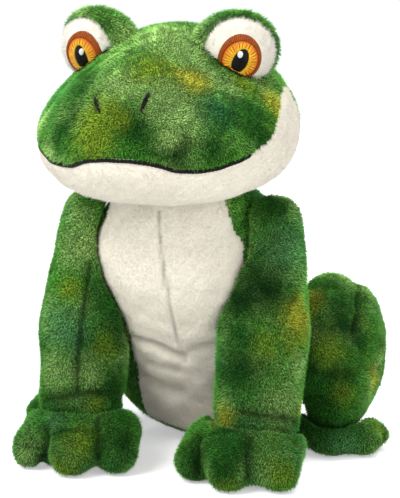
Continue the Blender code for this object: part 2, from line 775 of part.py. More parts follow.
def make_leg(side, word, leg, foot, mats):
    cover = less(leg_form(side, LIMB_FACETS), leg_form(side, LIMB_INNER_FACETS, -CLOTH))
    stuffing = leg_form(side, LIMB_INNER_FACETS, -CLOTH - STUFFING_GAP)
    for form in (cover, stuffing):
        less(form, swept(trunk_form, SEAT_CENTRE, LEG_SWINGS))
    finished(cover, "leg_cover_" + word, leg, mats["green"])
    finished(stuffing, "leg_stuffing_" + word, leg, mats["fibre"])
    for name, form in (
        ("foot_cover_", shell(foot_form, side)),
        ("foot_stuffing_", foot_form(side, LIMB_INNER_FACETS, TOE_INNER_FACETS, -CLOTH - STUFFING_GAP)),
    ):
        less(form, ball(on_side(ANKLE, side), (ANKLE_RADIUS,) * 3, LIMB_FACETS, TURNING_GAP))
        legs = (leg_form(side, LIMB_FACETS, TURNING_GAP) for _ in FOOT_FLEXES)
        turns = zip(legs, FOOT_FLEXES)
        less(form, hulled(*(turned(leg, on_side(ANKLE, side), flex) for leg, flex in turns)))
        less(form, below(0.0))
        less(form, trunk_form(BODY_FACETS, TURNING_GAP))
        finished(form, name + word, foot, mats["green" if "cover" in name else "fibre"])


def main():
    clear_scene()
    mats = {
        "green": material("green_plush", GREEN, 0.95),
        "cream": material("cream_plush", CREAM, 0.95),
        "eye_white": material("eye_plush", EYE_WHITE, 0.95),
        "black": material("black_thread", BLACK, 0.6),
        "amber": material("amber_thread", AMBER, 0.6),
        "maroon": material("maroon_thread", MAROON, 0.6),
        "white": material("white_thread", WHITE, 0.6),
        "fibre": material("fibre_filling", FIBRE, 1.0),
        "pellets": material("pellet_bag", PELLETS, 0.9),
    }
    root = pivot_empty("frog", (0.0, 0.0, 0.0), None)
    neck = pivot_empty("neck_pivot", NECK_CENTRE, root)
    head = pivot_empty("head_pivot", NECK_CENTRE, neck)
    make_body(root, mats)
    make_head(neck, head, mats)
    for side, word in ((1, "left"), (-1, "right")):
        shoulder = pivot_empty("shoulder_pivot_" + word, CHEST_CENTRE, root)
        wrist = pivot_empty("wrist_pivot_" + word, on_side(WRIST, side), shoulder)
        hip = pivot_empty("hip_pivot_" + word, SEAT_CENTRE, root)
        ankle = pivot_empty("ankle_pivot_" + word, on_side(ANKLE, side), hip)
        make_eye(side, word, head, mats)
        make_arm(side, word, shoulder, wrist, mats)
        make_leg(side, word, hip, ankle, mats)
    front = -head_place(1.0)
    rear = SEAT_BACK + SEAT_RADIUS
    root.location = (0.0, (front - rear) / 2, 0.0)


main()
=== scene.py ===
# %% [markdown]
# # A plush frog
# A sewn toy is cloth pulled over filling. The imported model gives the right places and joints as
# plain forms. This lesson turns each form into a stuffed skin, sews creases into it, covers it
# with short pile, and adds the embroidered eyes, the mouth cord and the nostrils.

# %% Load the frame
import math

import bmesh
import bpy
import numpy as np
from mathutils import Matrix, Vector
from mathutils.bvhtree import BVHTree


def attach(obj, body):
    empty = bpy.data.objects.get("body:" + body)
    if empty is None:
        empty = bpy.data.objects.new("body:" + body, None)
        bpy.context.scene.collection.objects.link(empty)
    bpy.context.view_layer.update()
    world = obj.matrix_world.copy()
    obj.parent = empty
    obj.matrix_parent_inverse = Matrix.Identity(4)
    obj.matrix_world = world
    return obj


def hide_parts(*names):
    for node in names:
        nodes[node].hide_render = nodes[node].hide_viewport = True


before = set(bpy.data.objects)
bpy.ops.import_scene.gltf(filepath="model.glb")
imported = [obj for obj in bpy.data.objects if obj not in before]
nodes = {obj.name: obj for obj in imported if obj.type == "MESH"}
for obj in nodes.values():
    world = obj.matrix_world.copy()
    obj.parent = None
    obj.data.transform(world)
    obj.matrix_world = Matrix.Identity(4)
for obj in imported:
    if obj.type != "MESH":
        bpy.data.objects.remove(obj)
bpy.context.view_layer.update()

scene = bpy.context.scene

# %% [markdown]
# ## The camera
# The photograph looks down a little and from the frog's left, from about a metre and a quarter.
# A point on the ground in front of the frog fixes where that is in the picture.

# %% Place the camera
TURN, TILT, DISTANCE, PER_PIXEL = math.radians(18), math.radians(11), 1.25, 0.000612
PICTURE_MIDDLE, PICTURE_TALL, SENSOR = (200, 249), 498, 36
AIM_RIGHT, AIM_UP, AIM_NEAR, AIM_BACK = -7, 195, 0.0715, Vector((0, 0.0485, 0))
right = Vector((math.cos(TURN), math.sin(TURN), 0))
up = Vector((-math.sin(TURN) * math.sin(TILT), math.cos(TURN) * math.sin(TILT), math.cos(TILT)))
ahead = right.cross(up) * -1
aim = right * (AIM_RIGHT * PER_PIXEL) + up * (AIM_UP * PER_PIXEL) - ahead * AIM_NEAR + AIM_BACK
camera = bpy.data.objects.new("camera", bpy.data.cameras.new("camera"))
scene.collection.objects.link(camera)
scene.camera = camera
facing = Matrix((right, up, -ahead)).transposed().to_4x4()
camera.matrix_world = Matrix.Translation(aim - ahead * DISTANCE) @ facing
camera.data.sensor_width = SENSOR
camera.data.lens = SENSOR * DISTANCE / (PICTURE_TALL * PER_PIXEL)
print("camera", tuple(round(c, 3) for c in camera.matrix_world.translation))

# %% [markdown]
# ## Floor, backdrop and lamps
# The photograph was made on white with wide soft lamps. The floor takes a soft shadow. What the
# camera sees behind it is plain white, while the lamps stay low enough for the cream cloth to
# keep its colour.

# %% Build the stage
FLOOR_REACH, FLOOR_GLOW, SKY_STRENGTH = 4, 0.42, 0.72
LAMPS = (
    ("key", (-0.6, -1.2, 1.25), (0, 0, 0.15), 0.8, 24),
    ("fill", (1.3, -0.9, 0.7), (0, 0, 0.12), 1.1, 9),
    ("top", (0.1, 0.4, 1.5), (0, 0, 0.15), 1.0, 19),
)


def new_object(name, verts, faces):
    """A smooth mesh object from arrays of corners and faces."""
    mesh = bpy.data.meshes.new(name)
    mesh.from_pydata([tuple(v) for v in verts], [], [tuple(int(i) for i in f) for f in faces])
    mesh.update()
    mesh.polygons.foreach_set("use_smooth", [True] * len(mesh.polygons))
    obj = bpy.data.objects.new(name, mesh)
    scene.collection.objects.link(obj)
    return obj


def new_material(name):
    """A material, its node tree and its Principled node."""
    mat = bpy.data.materials.new(name)
    mat.use_nodes = True
    return mat, mat.node_tree, mat.node_tree.nodes["Principled BSDF"]


corners = [(x * FLOOR_REACH, y * FLOOR_REACH, 0) for x, y in ((-1, -1), (1, -1), (1, 1), (-1, 1))]
floor = new_object("floor", corners, [(0, 1, 2, 3)])
floor_mat, tree, shader = new_material("floor")
shader.inputs["Base Color"].default_value = (0.92, 0.92, 0.92, 1)
shader.inputs["Roughness"].default_value = 0.9
shader.inputs["Emission Color"].default_value = (1, 1, 1, 1)
seen_by = tree.nodes.new("ShaderNodeLightPath")
glow = tree.nodes.new("ShaderNodeMath")
glow.operation = "MULTIPLY"
glow.inputs[1].default_value = FLOOR_GLOW
tree.links.new(seen_by.outputs["Is Camera Ray"], glow.inputs[0])
tree.links.new(glow.outputs[0], shader.inputs["Emission Strength"])
floor.data.materials.append(floor_mat)

world = bpy.data.worlds.new("studio")
scene.world = world
world.use_nodes = True
tree = world.node_tree
back = tree.nodes["Background"]
path = tree.nodes.new("ShaderNodeLightPath")
shown = tree.nodes.new("ShaderNodeBackground")
shown.inputs["Color"].default_value = (1, 1, 1, 1)
shown.inputs["Strength"].default_value = 1.0
back.inputs["Color"].default_value = (0.93, 0.96, 1.0, 1)
back.inputs["Strength"].default_value = SKY_STRENGTH
pick = tree.nodes.new("ShaderNodeMixShader")
tree.links.new(path.outputs["Is Camera Ray"], pick.inputs[0])
tree.links.new(back.outputs[0], pick.inputs[1])
tree.links.new(shown.outputs[0], pick.inputs[2])
tree.links.new(pick.outputs[0], tree.nodes["World Output"].inputs[0])


def lamp(name, place, target, size, power):
    """A square soft lamp that looks at a point."""
    data = bpy.data.lights.new(name, "AREA")
    data.energy, data.size = power, size
    obj = bpy.data.objects.new(name, data)
    scene.collection.objects.link(obj)
    obj.location = place
    obj.rotation_euler = (Vector(target) - Vector(place)).to_track_quat("-Z", "Y").to_euler()


for values in LAMPS:
    lamp(*values)
scene.view_settings.view_transform = "Standard"

# %% [markdown]
# ## Mesh tools
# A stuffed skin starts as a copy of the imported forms. A voxel remesh melts the pieces of one
# stuffed part into one closed surface, a few rounds of smoothing take the facets out, and a
# cloth simulation with some pressure inside lets it swell as filling does. Each point may move
# only a little, and never into a neighbour, so every joint keeps its room. The small round of
# cloth at the neck, with a cap of nought, skips the simulation.

# %% Tools for forming skins
CLEAR, REACH, CLOTH_FRAMES, TINY = 0.0004, 0.006, 16, 1e-9


def unit(v):
    """Vectors with a length of one."""
    return v / np.maximum(np.linalg.norm(v, axis=1), 1e-12)[:, None]


def whorl(p, size):
    """A smooth field between about -1 and 1 that changes over this distance."""
    total = 0
    for a, b, c, start in ((1.0, 0.6, -0.8, 0.3), (-0.7, 1.1, 0.5, 1.9), (0.4, -0.9, 1.2, 4.1)):
        total = total + np.sin((a * p[:, 0] + b * p[:, 1] + c * p[:, 2]) * 6.283 / size + start)
    return total / 3


def arrays(obj):
    """Corner coordinates, edges and triangles of a mesh object."""
    mesh = obj.data
    co = np.empty(len(mesh.vertices) * 3)
    mesh.vertices.foreach_get("co", co)
    edges = np.empty(len(mesh.edges) * 2, int)
    mesh.edges.foreach_get("vertices", edges)
    mesh.calc_loop_triangles()
    tris = np.empty(len(mesh.loop_triangles) * 3, int)
    mesh.loop_triangles.foreach_get("vertices", tris)
    return co.reshape(-1, 3), edges.reshape(-1, 2), tris.reshape(-1, 3)


def normals_of(obj):
    """The smooth normal at each corner."""
    values = np.empty(len(obj.data.vertices) * 3, np.float32)
    obj.data.vertex_normals.foreach_get("vector", values)
    return values.reshape(-1, 3).astype(float)


def folds_of(obj):
    """How deep in a fold or seam each corner is, from nought to one."""
    if "fold" not in obj.data.attributes:
        return np.zeros(len(obj.data.vertices))
    values = np.empty(len(obj.data.vertices), np.float32)
    obj.data.attributes["fold"].data.foreach_get("value", values)
    return values.astype(float)


def set_folds(obj, values):
    """Keeps the folds on the mesh, where the pile reads them and the materials darken them as painted shade."""
    layer = obj.data.attributes.get("fold") or obj.data.attributes.new("fold", "FLOAT", "POINT")
    layer.data.foreach_set("value", np.clip(values, 0, 1).astype(np.float32))


def place_points(obj, co):
    """Moves the corners of a mesh."""
    obj.data.vertices.foreach_set("co", np.asarray(co, np.float32).ravel())
    obj.data.update()


def applied(obj):
    """The mesh with its modifiers applied to it."""
    depsgraph = bpy.context.evaluated_depsgraph_get()
    mesh = bpy.data.meshes.new_from_object(obj.evaluated_get(depsgraph))
    old = obj.data
    obj.modifiers.clear()
    obj.data = mesh
    bpy.data.meshes.remove(old)
    return obj


def edited(obj, change):
    """Lets a function change a mesh through bmesh."""
    bm = bmesh.new()
    bm.from_mesh(obj.data)
    change(bm)
    bm.to_mesh(obj.data)
    bm.free()


def copied(name, sources):
    """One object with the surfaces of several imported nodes."""
    verts, faces, start = [], [], 0
    for source in sources:
        co, _, tris = arrays(nodes[source])
        verts.extend(co)
        faces.extend(tris + start)
        start += len(co)
    return new_object(name, verts, faces)


def keep_largest(bm):
    """Keeps the outer surface and drops the small islands that a remesh leaves inside it."""
    reached, best = set(), []
    for start in bm.verts:
        if start in reached:
            continue
        group, queue = [], [start]
        reached.add(start)
        while queue:
            vert = queue.pop()
            group.append(vert)
            for edge in vert.link_edges:
                other = edge.other_vert(vert)
                if other not in reached:
                    reached.add(other)
                    queue.append(other)
        if len(group) > len(best):
            best = group
    keep = set(best)
    bmesh.ops.delete(bm, geom=[v for v in bm.verts if v not in keep], context="VERTS")


def relaxed(co, edges, rounds, pull=0.5, push=-0.53):
    """Smooths points along their edges and swells them back, so the form keeps its size."""
    count = np.bincount(edges.ravel(), minlength=len(co))[:, None]
    for step in range(rounds * 2):
        near = np.zeros_like(co)
        np.add.at(near, edges[:, 0], co[edges[:, 1]])
        np.add.at(near, edges[:, 1], co[edges[:, 0]])
        co = co + (near / count - co) * (push if step % 2 else pull)
    return co


def remeshed(obj, voxel, rounds):
    """Melts the surfaces of an object into one, and smooths it."""
    modifier = obj.modifiers.new("remesh", "REMESH")
    modifier.mode = "VOXEL"
    modifier.voxel_size = voxel
    edited(applied(obj), keep_largest)
    co, edges, _ = arrays(obj)
    place_points(obj, relaxed(co, edges, rounds))
    obj.data.polygons.foreach_set("use_smooth", [True] * len(obj.data.polygons))
    return obj


def tree_of(objs):
    """A search tree of the surfaces of several objects."""
    verts, faces, start = [], [], 0
    for obj in objs:
        co, _, tris = arrays(obj)
        verts.extend(map(Vector, co))
        faces.extend((tris + start).tolist())
        start += len(co)
    return BVHTree.FromPolygons(verts, faces)


def room(co, tree):
    """How far each point is from the neighbours, up to REACH."""
    found = (tree.find_nearest(Vector(p), REACH) for p in co)
    return np.array([REACH if hit[3] is None else hit[3] for hit in found])


def swollen(obj, pressure, cap, room_left):
    """Runs the filling's pressure on a skin, and keeps each point within its cap and its room."""
    start, _, _ = arrays(obj)
    cloth = obj.modifiers.new("cloth", "CLOTH")
    settings = cloth.settings
    settings.use_pressure = True
    settings.uniform_pressure_force = pressure
    settings.effector_weights.gravity = 0
    settings.quality = 4
    cloth.point_cache.frame_start, cloth.point_cache.frame_end = 1, CLOTH_FRAMES
    for frame_number in range(1, CLOTH_FRAMES + 1):
        scene.frame_set(frame_number)
    applied(obj)
    scene.frame_set(1)
    end, _, _ = arrays(obj)
    move = end - start
    size = np.linalg.norm(move, axis=1)
    most = np.minimum(cap, np.maximum(room_left - CLEAR, 0.0))
    co = start + move * np.minimum(1.0, most / np.maximum(size, TINY))[:, None]
    co[:, 2] = np.maximum(co[:, 2], CLEAR)
    place_points(obj, co)


def finer(obj):
    """Subdivides a surface smoothly, once."""
    modifier = obj.modifiers.new("finer", "SUBSURF")
    modifier.levels = modifier.render_levels = 1
    return applied(obj)


def stuffed(name, sources, voxel=0.004, inset=0.0011, pressure=4.0, cap=0.0022, rounds=7):
    """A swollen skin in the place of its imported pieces."""
    obj = remeshed(copied(name, sources), voxel, rounds)
    co, _, _ = arrays(obj)
    place_points(obj, co - normals_of(obj) * inset)
    if not cap:
        return finer(obj)
    others = [n for key, n in nodes.items() if key not in sources]
    co, _, _ = arrays(obj)
    swollen(obj, pressure, cap, room(co, tree_of(others)))
    return finer(obj)


print("tools ready")

# %% [markdown]
# ## The stuffed skins
# One skin for each stuffed part: trunk, head, and per side arm, paw, leg, foot and eye. The
# eyes are small, so their voxels are finer.

# %% Form the skins
SIDES = ("left", "right")
plan = {
    "trunk": ["body_cover", "belly_panel", "body_stuffing", "pellet_bag"],
    "head": ["head_cover", "chin_cover", "head_stuffing"],
}
for side in SIDES:
    for part in ("arm", "paw", "leg", "foot"):
        plan[f"{part}_{side}"] = [f"{part}_cover_{side}", f"{part}_stuffing_{side}"]
skins = {key: stuffed(key + "_skin", sources) for key, sources in plan.items()}
for side in SIDES:
    pads = [f"{n}_{side}" for n in ("eye_cover", "eye_stuffing")]
    skins["eye_" + side] = stuffed(f"eye_{side}_skin", pads, 0.0022, 0.0004, 4.0, 0.0005, 4)
skins["neck"] = stuffed("neck_skin", ["neck_disc"], 0.0016, 0.0005, 0, 0, 2)
for key, skin in skins.items():
    print(key, len(skin.data.polygons), "faces", [round(c, 3) for c in skin.dimensions])

# %% [markdown]
# ## Folds and seams
# The seams pull the cloth in along narrow grooves, and the limbs fold where they bend. Each one
# is drawn as a line in the photograph and laid on whatever the camera sees there. The depth of a
# fold is kept on the mesh, so its pile is shorter there and its colour darker, as painted shade.

# %% Press folds and seams into the skins
def seen(x, y, tree):
    """The point on a surface that the camera sees at a place in the picture."""
    eye = camera.matrix_world.translation
    across, down = x - PICTURE_MIDDLE[0], y - PICTURE_MIDDLE[1]
    way = ahead * DISTANCE + right * (across * PER_PIXEL) - up * (down * PER_PIXEL)
    place = tree.ray_cast(eye, way.normalized())[0]
    return place if place is not None else tree.find_nearest(eye + way)[0]


def away_from(co, line):
    """The distance of each point from a line of points."""
    best = np.full(len(co), 1.0)
    for a, b in zip(line[:-1], line[1:]):
        way = b - a
        along = np.clip(((co - a) @ way) / max(way @ way, 1e-12), 0, 1)
        best = np.minimum(best, np.linalg.norm(co - a - along[:, None] * way, axis=1))
    return best


def pressed(skin, line, depth, width, dark):
    """Presses a soft groove along a line into a skin."""
    co, _, _ = arrays(skin)
    share = np.exp(-((away_from(co, np.array(line)) / width) ** 2))
    place_points(skin, co - normals_of(skin) * (share * depth)[:, None])
    # The fold value later darkens the colour here as painted shade, and shortens the pile.
    set_folds(skin, np.maximum(folds_of(skin), share * dark))


NOD_CENTRE, NOD_REACH = np.array((0.0, -0.0015, 0.156)), math.radians(7)
NECK_SHRINK = np.array((0.92, 0.92, 1.0))


def off_the_neck(co):
    """How far each point of the head stays from the neck, at the worst place of a nod."""
    least = np.full(len(co), 0.006)
    for turn in (-NOD_REACH, 0.0, NOD_REACH):
        spin = np.array(Matrix.Rotation(turn, 3, "X"))
        for i, point in enumerate((co - NOD_CENTRE) @ spin.T + NOD_CENTRE):
            place, normal, _, away = neck_tree.find_nearest(Vector(point), 0.006)
            if place is not None:
                inside = (Vector(point) - place).dot(normal) < 0
                least[i] = min(least[i], -away if inside else away)
    return least


# Each kind gives a depth, a width and a darkness: how strongly the fold is painted darker as painted shade, which
# also shortens its pile and leaves the deepest bare.
SEAM, FOLD = (0.0014, 0.0022, 1.0), (0.0028, 0.0036, 0.9)
CREASE, SOFT = (0.0009, 0.0013, 0.9), (0.0022, 0.0060, 0.3)
FOLDS = (
    ("trunk", (0.0006, 0.0011, 0.85),
     ((159, 212), (160, 240), (163, 265), (167, 290), (172, 320), (180, 346), (184, 362))),
    ("trunk", (0.0026, 0.0034, 0.6), ((134, 338), (152, 344), (170, 353), (182, 357))),
    ("trunk", (0.0012, 0.0040, 0.3), ((192, 350), (205, 347), (216, 344))),
    ("trunk", SOFT, ((138, 372), (158, 384), (182, 392))),
    ("trunk", (0.0012, 0.0040, 0.2), ((145, 362), (160, 368), (176, 371))),
    ("arm_right", SEAM, ((90, 262), (87, 285), (83, 310), (80, 340), (77, 364), (77, 390))),
    ("arm_right", FOLD, ((45, 399), (62, 397), (80, 393), (100, 392), (124, 397))),
    ("arm_right", CREASE, ((40, 408), (60, 411), (86, 404))),
    ("arm_right", SOFT, ((84, 340), (104, 346), (128, 338))),
    ("arm_right", SOFT, ((80, 365), (98, 360), (120, 368))),
    ("arm_left", SOFT, ((222, 300), (245, 300), (268, 288))),
    ("arm_left", SOFT, ((232, 262), (252, 258), (280, 232))),
    ("arm_left", FOLD, ((242, 412), (262, 416), (284, 417), (297, 422))),
    ("arm_left", SOFT, ((225, 372), (245, 360), (262, 366))),
    ("paw_right", FOLD, ((47, 428), (46, 442), (44, 456), (43, 474))),
    ("paw_right", FOLD, ((97, 420), (98, 440), (98, 455), (97, 472))),
    ("paw_right", CREASE, ((53, 434), (66, 429), (88, 432))),
    ("paw_right", CREASE, ((12, 449), (26, 446), (40, 447))),
    ("paw_left", FOLD, ((200, 436), (197, 450), (197, 464), (198, 476))),
    ("paw_left", FOLD, ((250, 438), (247, 455), (248, 478))),
    ("paw_left", CREASE, ((202, 442), (214, 433), (232, 431), (250, 437))),
    ("leg_left", SEAM, ((357, 285), (356, 300), (354, 330))),
    ("leg_left", (0.0020, 0.0045, 0.5), ((308, 366), (335, 372), (362, 366), (378, 368))),
    ("leg_left", SOFT, ((322, 325), (345, 330), (362, 345))),
    ("head", CREASE, ((104, 53), (120, 53), (138, 54))),
    ("head", SOFT, ((172, 100), (181, 101), (190, 103))),
    ("head", SOFT, ((128, 126), (134, 128), (141, 128))),
)
for key, (depth, width, dark), line in FOLDS:
    tree_here = tree_of([skins[key]])
    pressed(skins[key], [np.array(seen(x, y, tree_here)) for x, y in line], depth, width, dark)
for skin in skins.values():
    co, _, _ = arrays(skin)
    waves = whorl(co, 0.034) * 0.0007 + whorl(co + 0.3, 0.019) * 0.0004
    small = 0.2 if skin.name.startswith(("eye", "neck")) else 1.0
    moved = co + normals_of(skin) * (waves * small)[:, None]
    moved[:, 2] = np.maximum(moved[:, 2], 0.0004)
    place_points(skin, moved)
co, _, _ = arrays(skins["neck"])
place_points(skins["neck"], NOD_CENTRE + (co - NOD_CENTRE) * NECK_SHRINK)
neck_tree = tree_of([skins["neck"]])
HEAD_ROOM = 0.0012
co, _, _ = arrays(skins["head"])
close = np.maximum(HEAD_ROOM - off_the_neck(co), 0)
place_points(skins["head"], co - normals_of(skins["head"]) * close[:, None])
print("pressed", len(FOLDS), "lines, head held off the neck by", round(close.max(), 4))

# %% [markdown]
# ## Green cloth and cream cloth
# The trunk is green with a cream panel in front, and the head is green with a cream jaw. Two
# outlines, given as shares like a paper pattern, say where the cloths meet. Each skin is cut in
# two there, with a shallow groove along the seam.

# %% Cut the trunk and the head into their two cloths
PANEL_HALF_WIDTH, PANEL_HEIGHT, PANEL_FRONT = 0.053, 0.176, 0.0205
PANEL_SHARES = np.array((
    (0.64, 0.00), (0.62, 0.14), (0.58, 0.30), (0.57, 0.46), (0.66, 0.57), (0.84, 0.65),
    (0.92, 0.74), (0.90, 0.80), (0.80, 0.85), (0.75, 0.91), (0.66, 1.00), (0.56, 1.10),
))
PANEL_LEAN, LEAN_HEIGHTS = 0.003, (0.110, 0.130)
COLLAR_FRONT, COLLAR_HEIGHTS = -0.014, (0.140, 0.165)
UNDER_HEIGHT, UNDER_REACH = 0.028, 0.010
CORD_LIFT, PUPIL_SIZE, GLINT_SIZE = 0.0004, (0.0045, 0.0079), (0.0017, 0.0021)
HOOD_LOWER = {1: -5, -1: -18}
HEAD_START, HEAD_LENGTH, HEAD_LOW, HEAD_HEIGHT, JAW_FRONT = 0.0445, 0.161, 0.166, 0.107, 0.0025
MOUTH_SHARES = np.array((
    (0.320, 0.630), (0.410, 0.600), (0.500, 0.530), (0.600, 0.418), (0.680, 0.352), (0.760, 0.303),
    (0.820, 0.277), (0.870, 0.266), (0.920, 0.276), (0.975, 0.329), (1.020, 0.333),
))


def in_panel(co):
    """How far inside the cream panel each point is, in metres."""
    half = np.interp(co[:, 2] / PANEL_HEIGHT, PANEL_SHARES[:, 1], PANEL_SHARES[:, 0])
    under = np.where(co[:, 2] < UNDER_HEIGHT, UNDER_REACH, 0.0)
    lean = np.interp(co[:, 2], LEAN_HEIGHTS, (0.0, PANEL_LEAN))
    front = np.interp(co[:, 2], COLLAR_HEIGHTS, (PANEL_FRONT, COLLAR_FRONT)) + under
    return np.minimum(half * PANEL_HALF_WIDTH - abs(co[:, 0] + lean), front - co[:, 1])


def mouth_height(y):
    """The height of the mouth seam at a place along the head."""
    share = (HEAD_START - np.asarray(y)) / HEAD_LENGTH
    return HEAD_LOW + HEAD_HEIGHT * np.interp(share, MOUTH_SHARES[:, 0], MOUTH_SHARES[:, 1])


def in_jaw(co):
    """How far below the mouth seam each point is, in metres."""
    return np.minimum(mouth_height(co[:, 1]) - co[:, 2], JAW_FRONT - co[:, 1])


def cut_in_two(obj, inside, name):
    """Moves the faces inside a cream outline into an object of their own."""
    co, _, _ = arrays(obj)
    value = inside(co)
    dent = 0.0007 * np.exp(-((value / 0.0018) ** 2))
    place_points(obj, co - normals_of(obj) * dent[:, None])
    twin = obj.copy()
    twin.data = obj.data.copy()
    twin.name = name
    scene.collection.objects.link(twin)
    for piece, wanted in ((obj, False), (twin, True)):
        bm = bmesh.new()
        bm.from_mesh(piece.data)
        bm.verts.ensure_lookup_table()
        drop = [f for f in bm.faces if (np.mean([value[v.index] for v in f.verts]) > 0) != wanted]
        bmesh.ops.delete(bm, geom=drop, context="FACES")
        bm.to_mesh(piece.data)
        bm.free()
    return twin


skins["panel"] = cut_in_two(skins["trunk"], in_panel, "panel_skin")
skins["jaw"] = cut_in_two(skins["head"], in_jaw, "jaw_skin")
print("panel", len(skins["panel"].data.polygons), "jaw", len(skins["jaw"].data.polygons), "faces")

# %% [markdown]
# ## Dyed plush
# The green cloth is dyed in clouds: deep bottle green, grass green, pale green, a bluish green,
# and some olive patches. Spots add more dye patches, with painted highlights and painted shade
# among them, and the lower parts of the green cloth are painted darker as painted shade. Every
# hair is dark at its root and light at its tip, as painted shade deep in the pile, and folds are
# painted darker as painted shade. These effects are node groups, so both cloths and the pile
# share them.

# %% Node groups for plush
def new_group(name, inputs, outputs):
    """A node group with named inputs and outputs, and its two ends."""
    group = bpy.data.node_groups.new(name, "ShaderNodeTree")
    for label, kind, value in inputs:
        socket = group.interface.new_socket(label, in_out="INPUT", socket_type=kind)
        if value is not None:
            socket.default_value = value
    for label, kind in outputs:
        group.interface.new_socket(label, in_out="OUTPUT", socket_type=kind)
    return group, group.nodes.new("NodeGroupInput"), group.nodes.new("NodeGroupOutput")


def add(tree, kind, values=None, links=(), **settings):
    """A node with its settings, its socket values and the links that feed it."""
    node = tree.nodes.new(kind)
    for key, value in settings.items():
        setattr(node, key, value)
    for key, value in (values or {}).items():
        node.inputs[key].default_value = value
    for key, source in links:
        tree.links.new(source, node.inputs[key])
    return node


def mix_colours(tree, factor, first, second, blend="MIX"):
    """A colour between two others. Each of the three may be a socket or a plain value."""
    node = tree.nodes.new("ShaderNodeMix")
    node.data_type, node.blend_type = "RGBA", blend
    for index, given in ((0, factor), (6, first), (7, second)):
        if isinstance(given, bpy.types.NodeSocket):
            tree.links.new(given, node.inputs[index])
        else:
            node.inputs[index].default_value = given
    return node.outputs[2]


def ramp(tree, source, low, high):
    """Spreads the part of a value between low and high over nought to one, softly."""
    node = add(tree, "ShaderNodeMapRange", {1: low, 2: high}, [(0, source)])
    node.interpolation_type = "SMOOTHSTEP"
    return node.outputs[0]


VECTOR, FLOAT, COLOUR = "NodeSocketVector", "NodeSocketFloat", "NodeSocketColor"
cloud, ins, outs = new_group(
    "Dye Clouds",
    [("Vector", VECTOR, None), ("Size", FLOAT, 0.03), ("Cover", FLOAT, 0.5), ("Softness", FLOAT, 0.08),
     ("Seed", FLOAT, 0.0)],
    [("Mask", FLOAT)],
)
scale = add(cloud, "ShaderNodeMath", {0: 1.0}, [(1, ins.outputs["Size"])], operation="DIVIDE")
field = add(cloud, "ShaderNodeTexNoise", {"Detail": 3.0, "Roughness": 0.6}, [
    ("Vector", ins.outputs["Vector"]), ("Scale", scale.outputs[0]), ("W", ins.outputs["Seed"])],
    noise_dimensions="4D")
low = add(cloud, "ShaderNodeMath", {},
          [(0, ins.outputs["Cover"]), (1, ins.outputs["Softness"])], operation="SUBTRACT")
high = add(cloud, "ShaderNodeMath", {},
           [(0, ins.outputs["Cover"]), (1, ins.outputs["Softness"])], operation="ADD")
level = add(cloud, "ShaderNodeMapRange", {},
            [(0, field.outputs[0]), (1, low.outputs[0]), (2, high.outputs[0])])
level.interpolation_type = "SMOOTHSTEP"
cloud.links.new(level.outputs[0], outs.inputs["Mask"])

# A soft round spot of colour, used for dye patches, painted highlights and painted shade.
spot, ins, outs = new_group(
    "Dye Light And Shade Spot",
    [("Vector", VECTOR, None), ("Centre", VECTOR, (0, 0, 0)), ("Radius", FLOAT, 0.012),
     ("Ragged", FLOAT, 0.5)],
    [("Mask", FLOAT)],
)
away = add(spot, "ShaderNodeVectorMath", {},
           [(0, ins.outputs["Vector"]), (1, ins.outputs["Centre"])], operation="DISTANCE")
share = add(spot, "ShaderNodeMath", {},
            [(0, away.outputs["Value"]), (1, ins.outputs["Radius"])], operation="DIVIDE")
ragged = add(spot, "ShaderNodeMath", {1: 1.0, 2: -0.5},
             [(0, ins.outputs["Ragged"])], operation="MULTIPLY_ADD")
edge = add(spot, "ShaderNodeMath", {},
           [(0, share.outputs[0]), (1, ragged.outputs[0])], operation="ADD")
fade = add(spot, "ShaderNodeMapRange", {1: 1.5, 2: 0.0}, [(0, edge.outputs[0])])
fade.interpolation_type = "SMOOTHSTEP"
spot.links.new(fade.outputs[0], outs.inputs["Mask"])

hair, ins, outs = new_group(
    "Hair Shade",
    [("Color", COLOUR, (0.5, 0.5, 0.5, 1)), ("Tip", FLOAT, 0.0), ("Shade", FLOAT, 0.5), ("Root", FLOAT, 0.45),
     ("Ends", FLOAT, 1.2), ("Spread", FLOAT, 0.35), ("Grain", FLOAT, 0.5), ("Fold Shade", FLOAT, 0.0)],
    [("Color", COLOUR)],
)
# Root and Ends take the colour from dark at the root to light at the tip: painted shade deep in the pile.
root_shade = add(hair, "ShaderNodeMapRange", {1: 0.0, 2: 1.0}, [
    (0, ins.outputs["Tip"]), (3, ins.outputs["Root"]), (4, ins.outputs["Ends"])])
odd = add(hair, "ShaderNodeMath", {1: 0.5}, [(0, ins.outputs["Shade"])], operation="SUBTRACT")
fleck = add(hair, "ShaderNodeMapRange", {1: 0.36, 2: 0.64, 3: -0.45, 4: 0.45},
            [(0, ins.outputs["Grain"])])
odd_all = add(hair, "ShaderNodeMath", {},
              [(0, odd.outputs[0]), (1, fleck.outputs[0])], operation="ADD")
vary = add(hair, "ShaderNodeMath", {2: 1.0},
           [(0, odd_all.outputs[0]), (1, ins.outputs["Spread"])], operation="MULTIPLY_ADD")
both = add(hair, "ShaderNodeMath", {},
           [(0, root_shade.outputs[0]), (1, vary.outputs[0])], operation="MULTIPLY")
# The fold darkens the colour: painted shade in folds and seams.
fold_shade = add(hair, "ShaderNodeMath", {1: -0.6, 2: 1.0},
          [(0, ins.outputs["Fold Shade"])], operation="MULTIPLY_ADD")
full = add(hair, "ShaderNodeMath", {},
           [(0, both.outputs[0]), (1, fold_shade.outputs[0])], operation="MULTIPLY")
bright = add(hair, "ShaderNodeVectorMath", {},
             [(0, ins.outputs["Color"]), ("Scale", full.outputs[0])], operation="SCALE")
hair.links.new(bright.outputs[0], outs.inputs["Color"])
print("groups", [g.name for g in (cloud, spot, hair)])

# %% Plush materials
def grouped(tree, group, values=None, links=()):
    """A node group placed in a material."""
    node = tree.nodes.new("ShaderNodeGroup")
    node.node_tree = group
    for key, value in (values or {}).items():
        node.inputs[key].default_value = value
    for key, source in links:
        tree.links.new(source, node.inputs[key])
    return node.outputs[0]


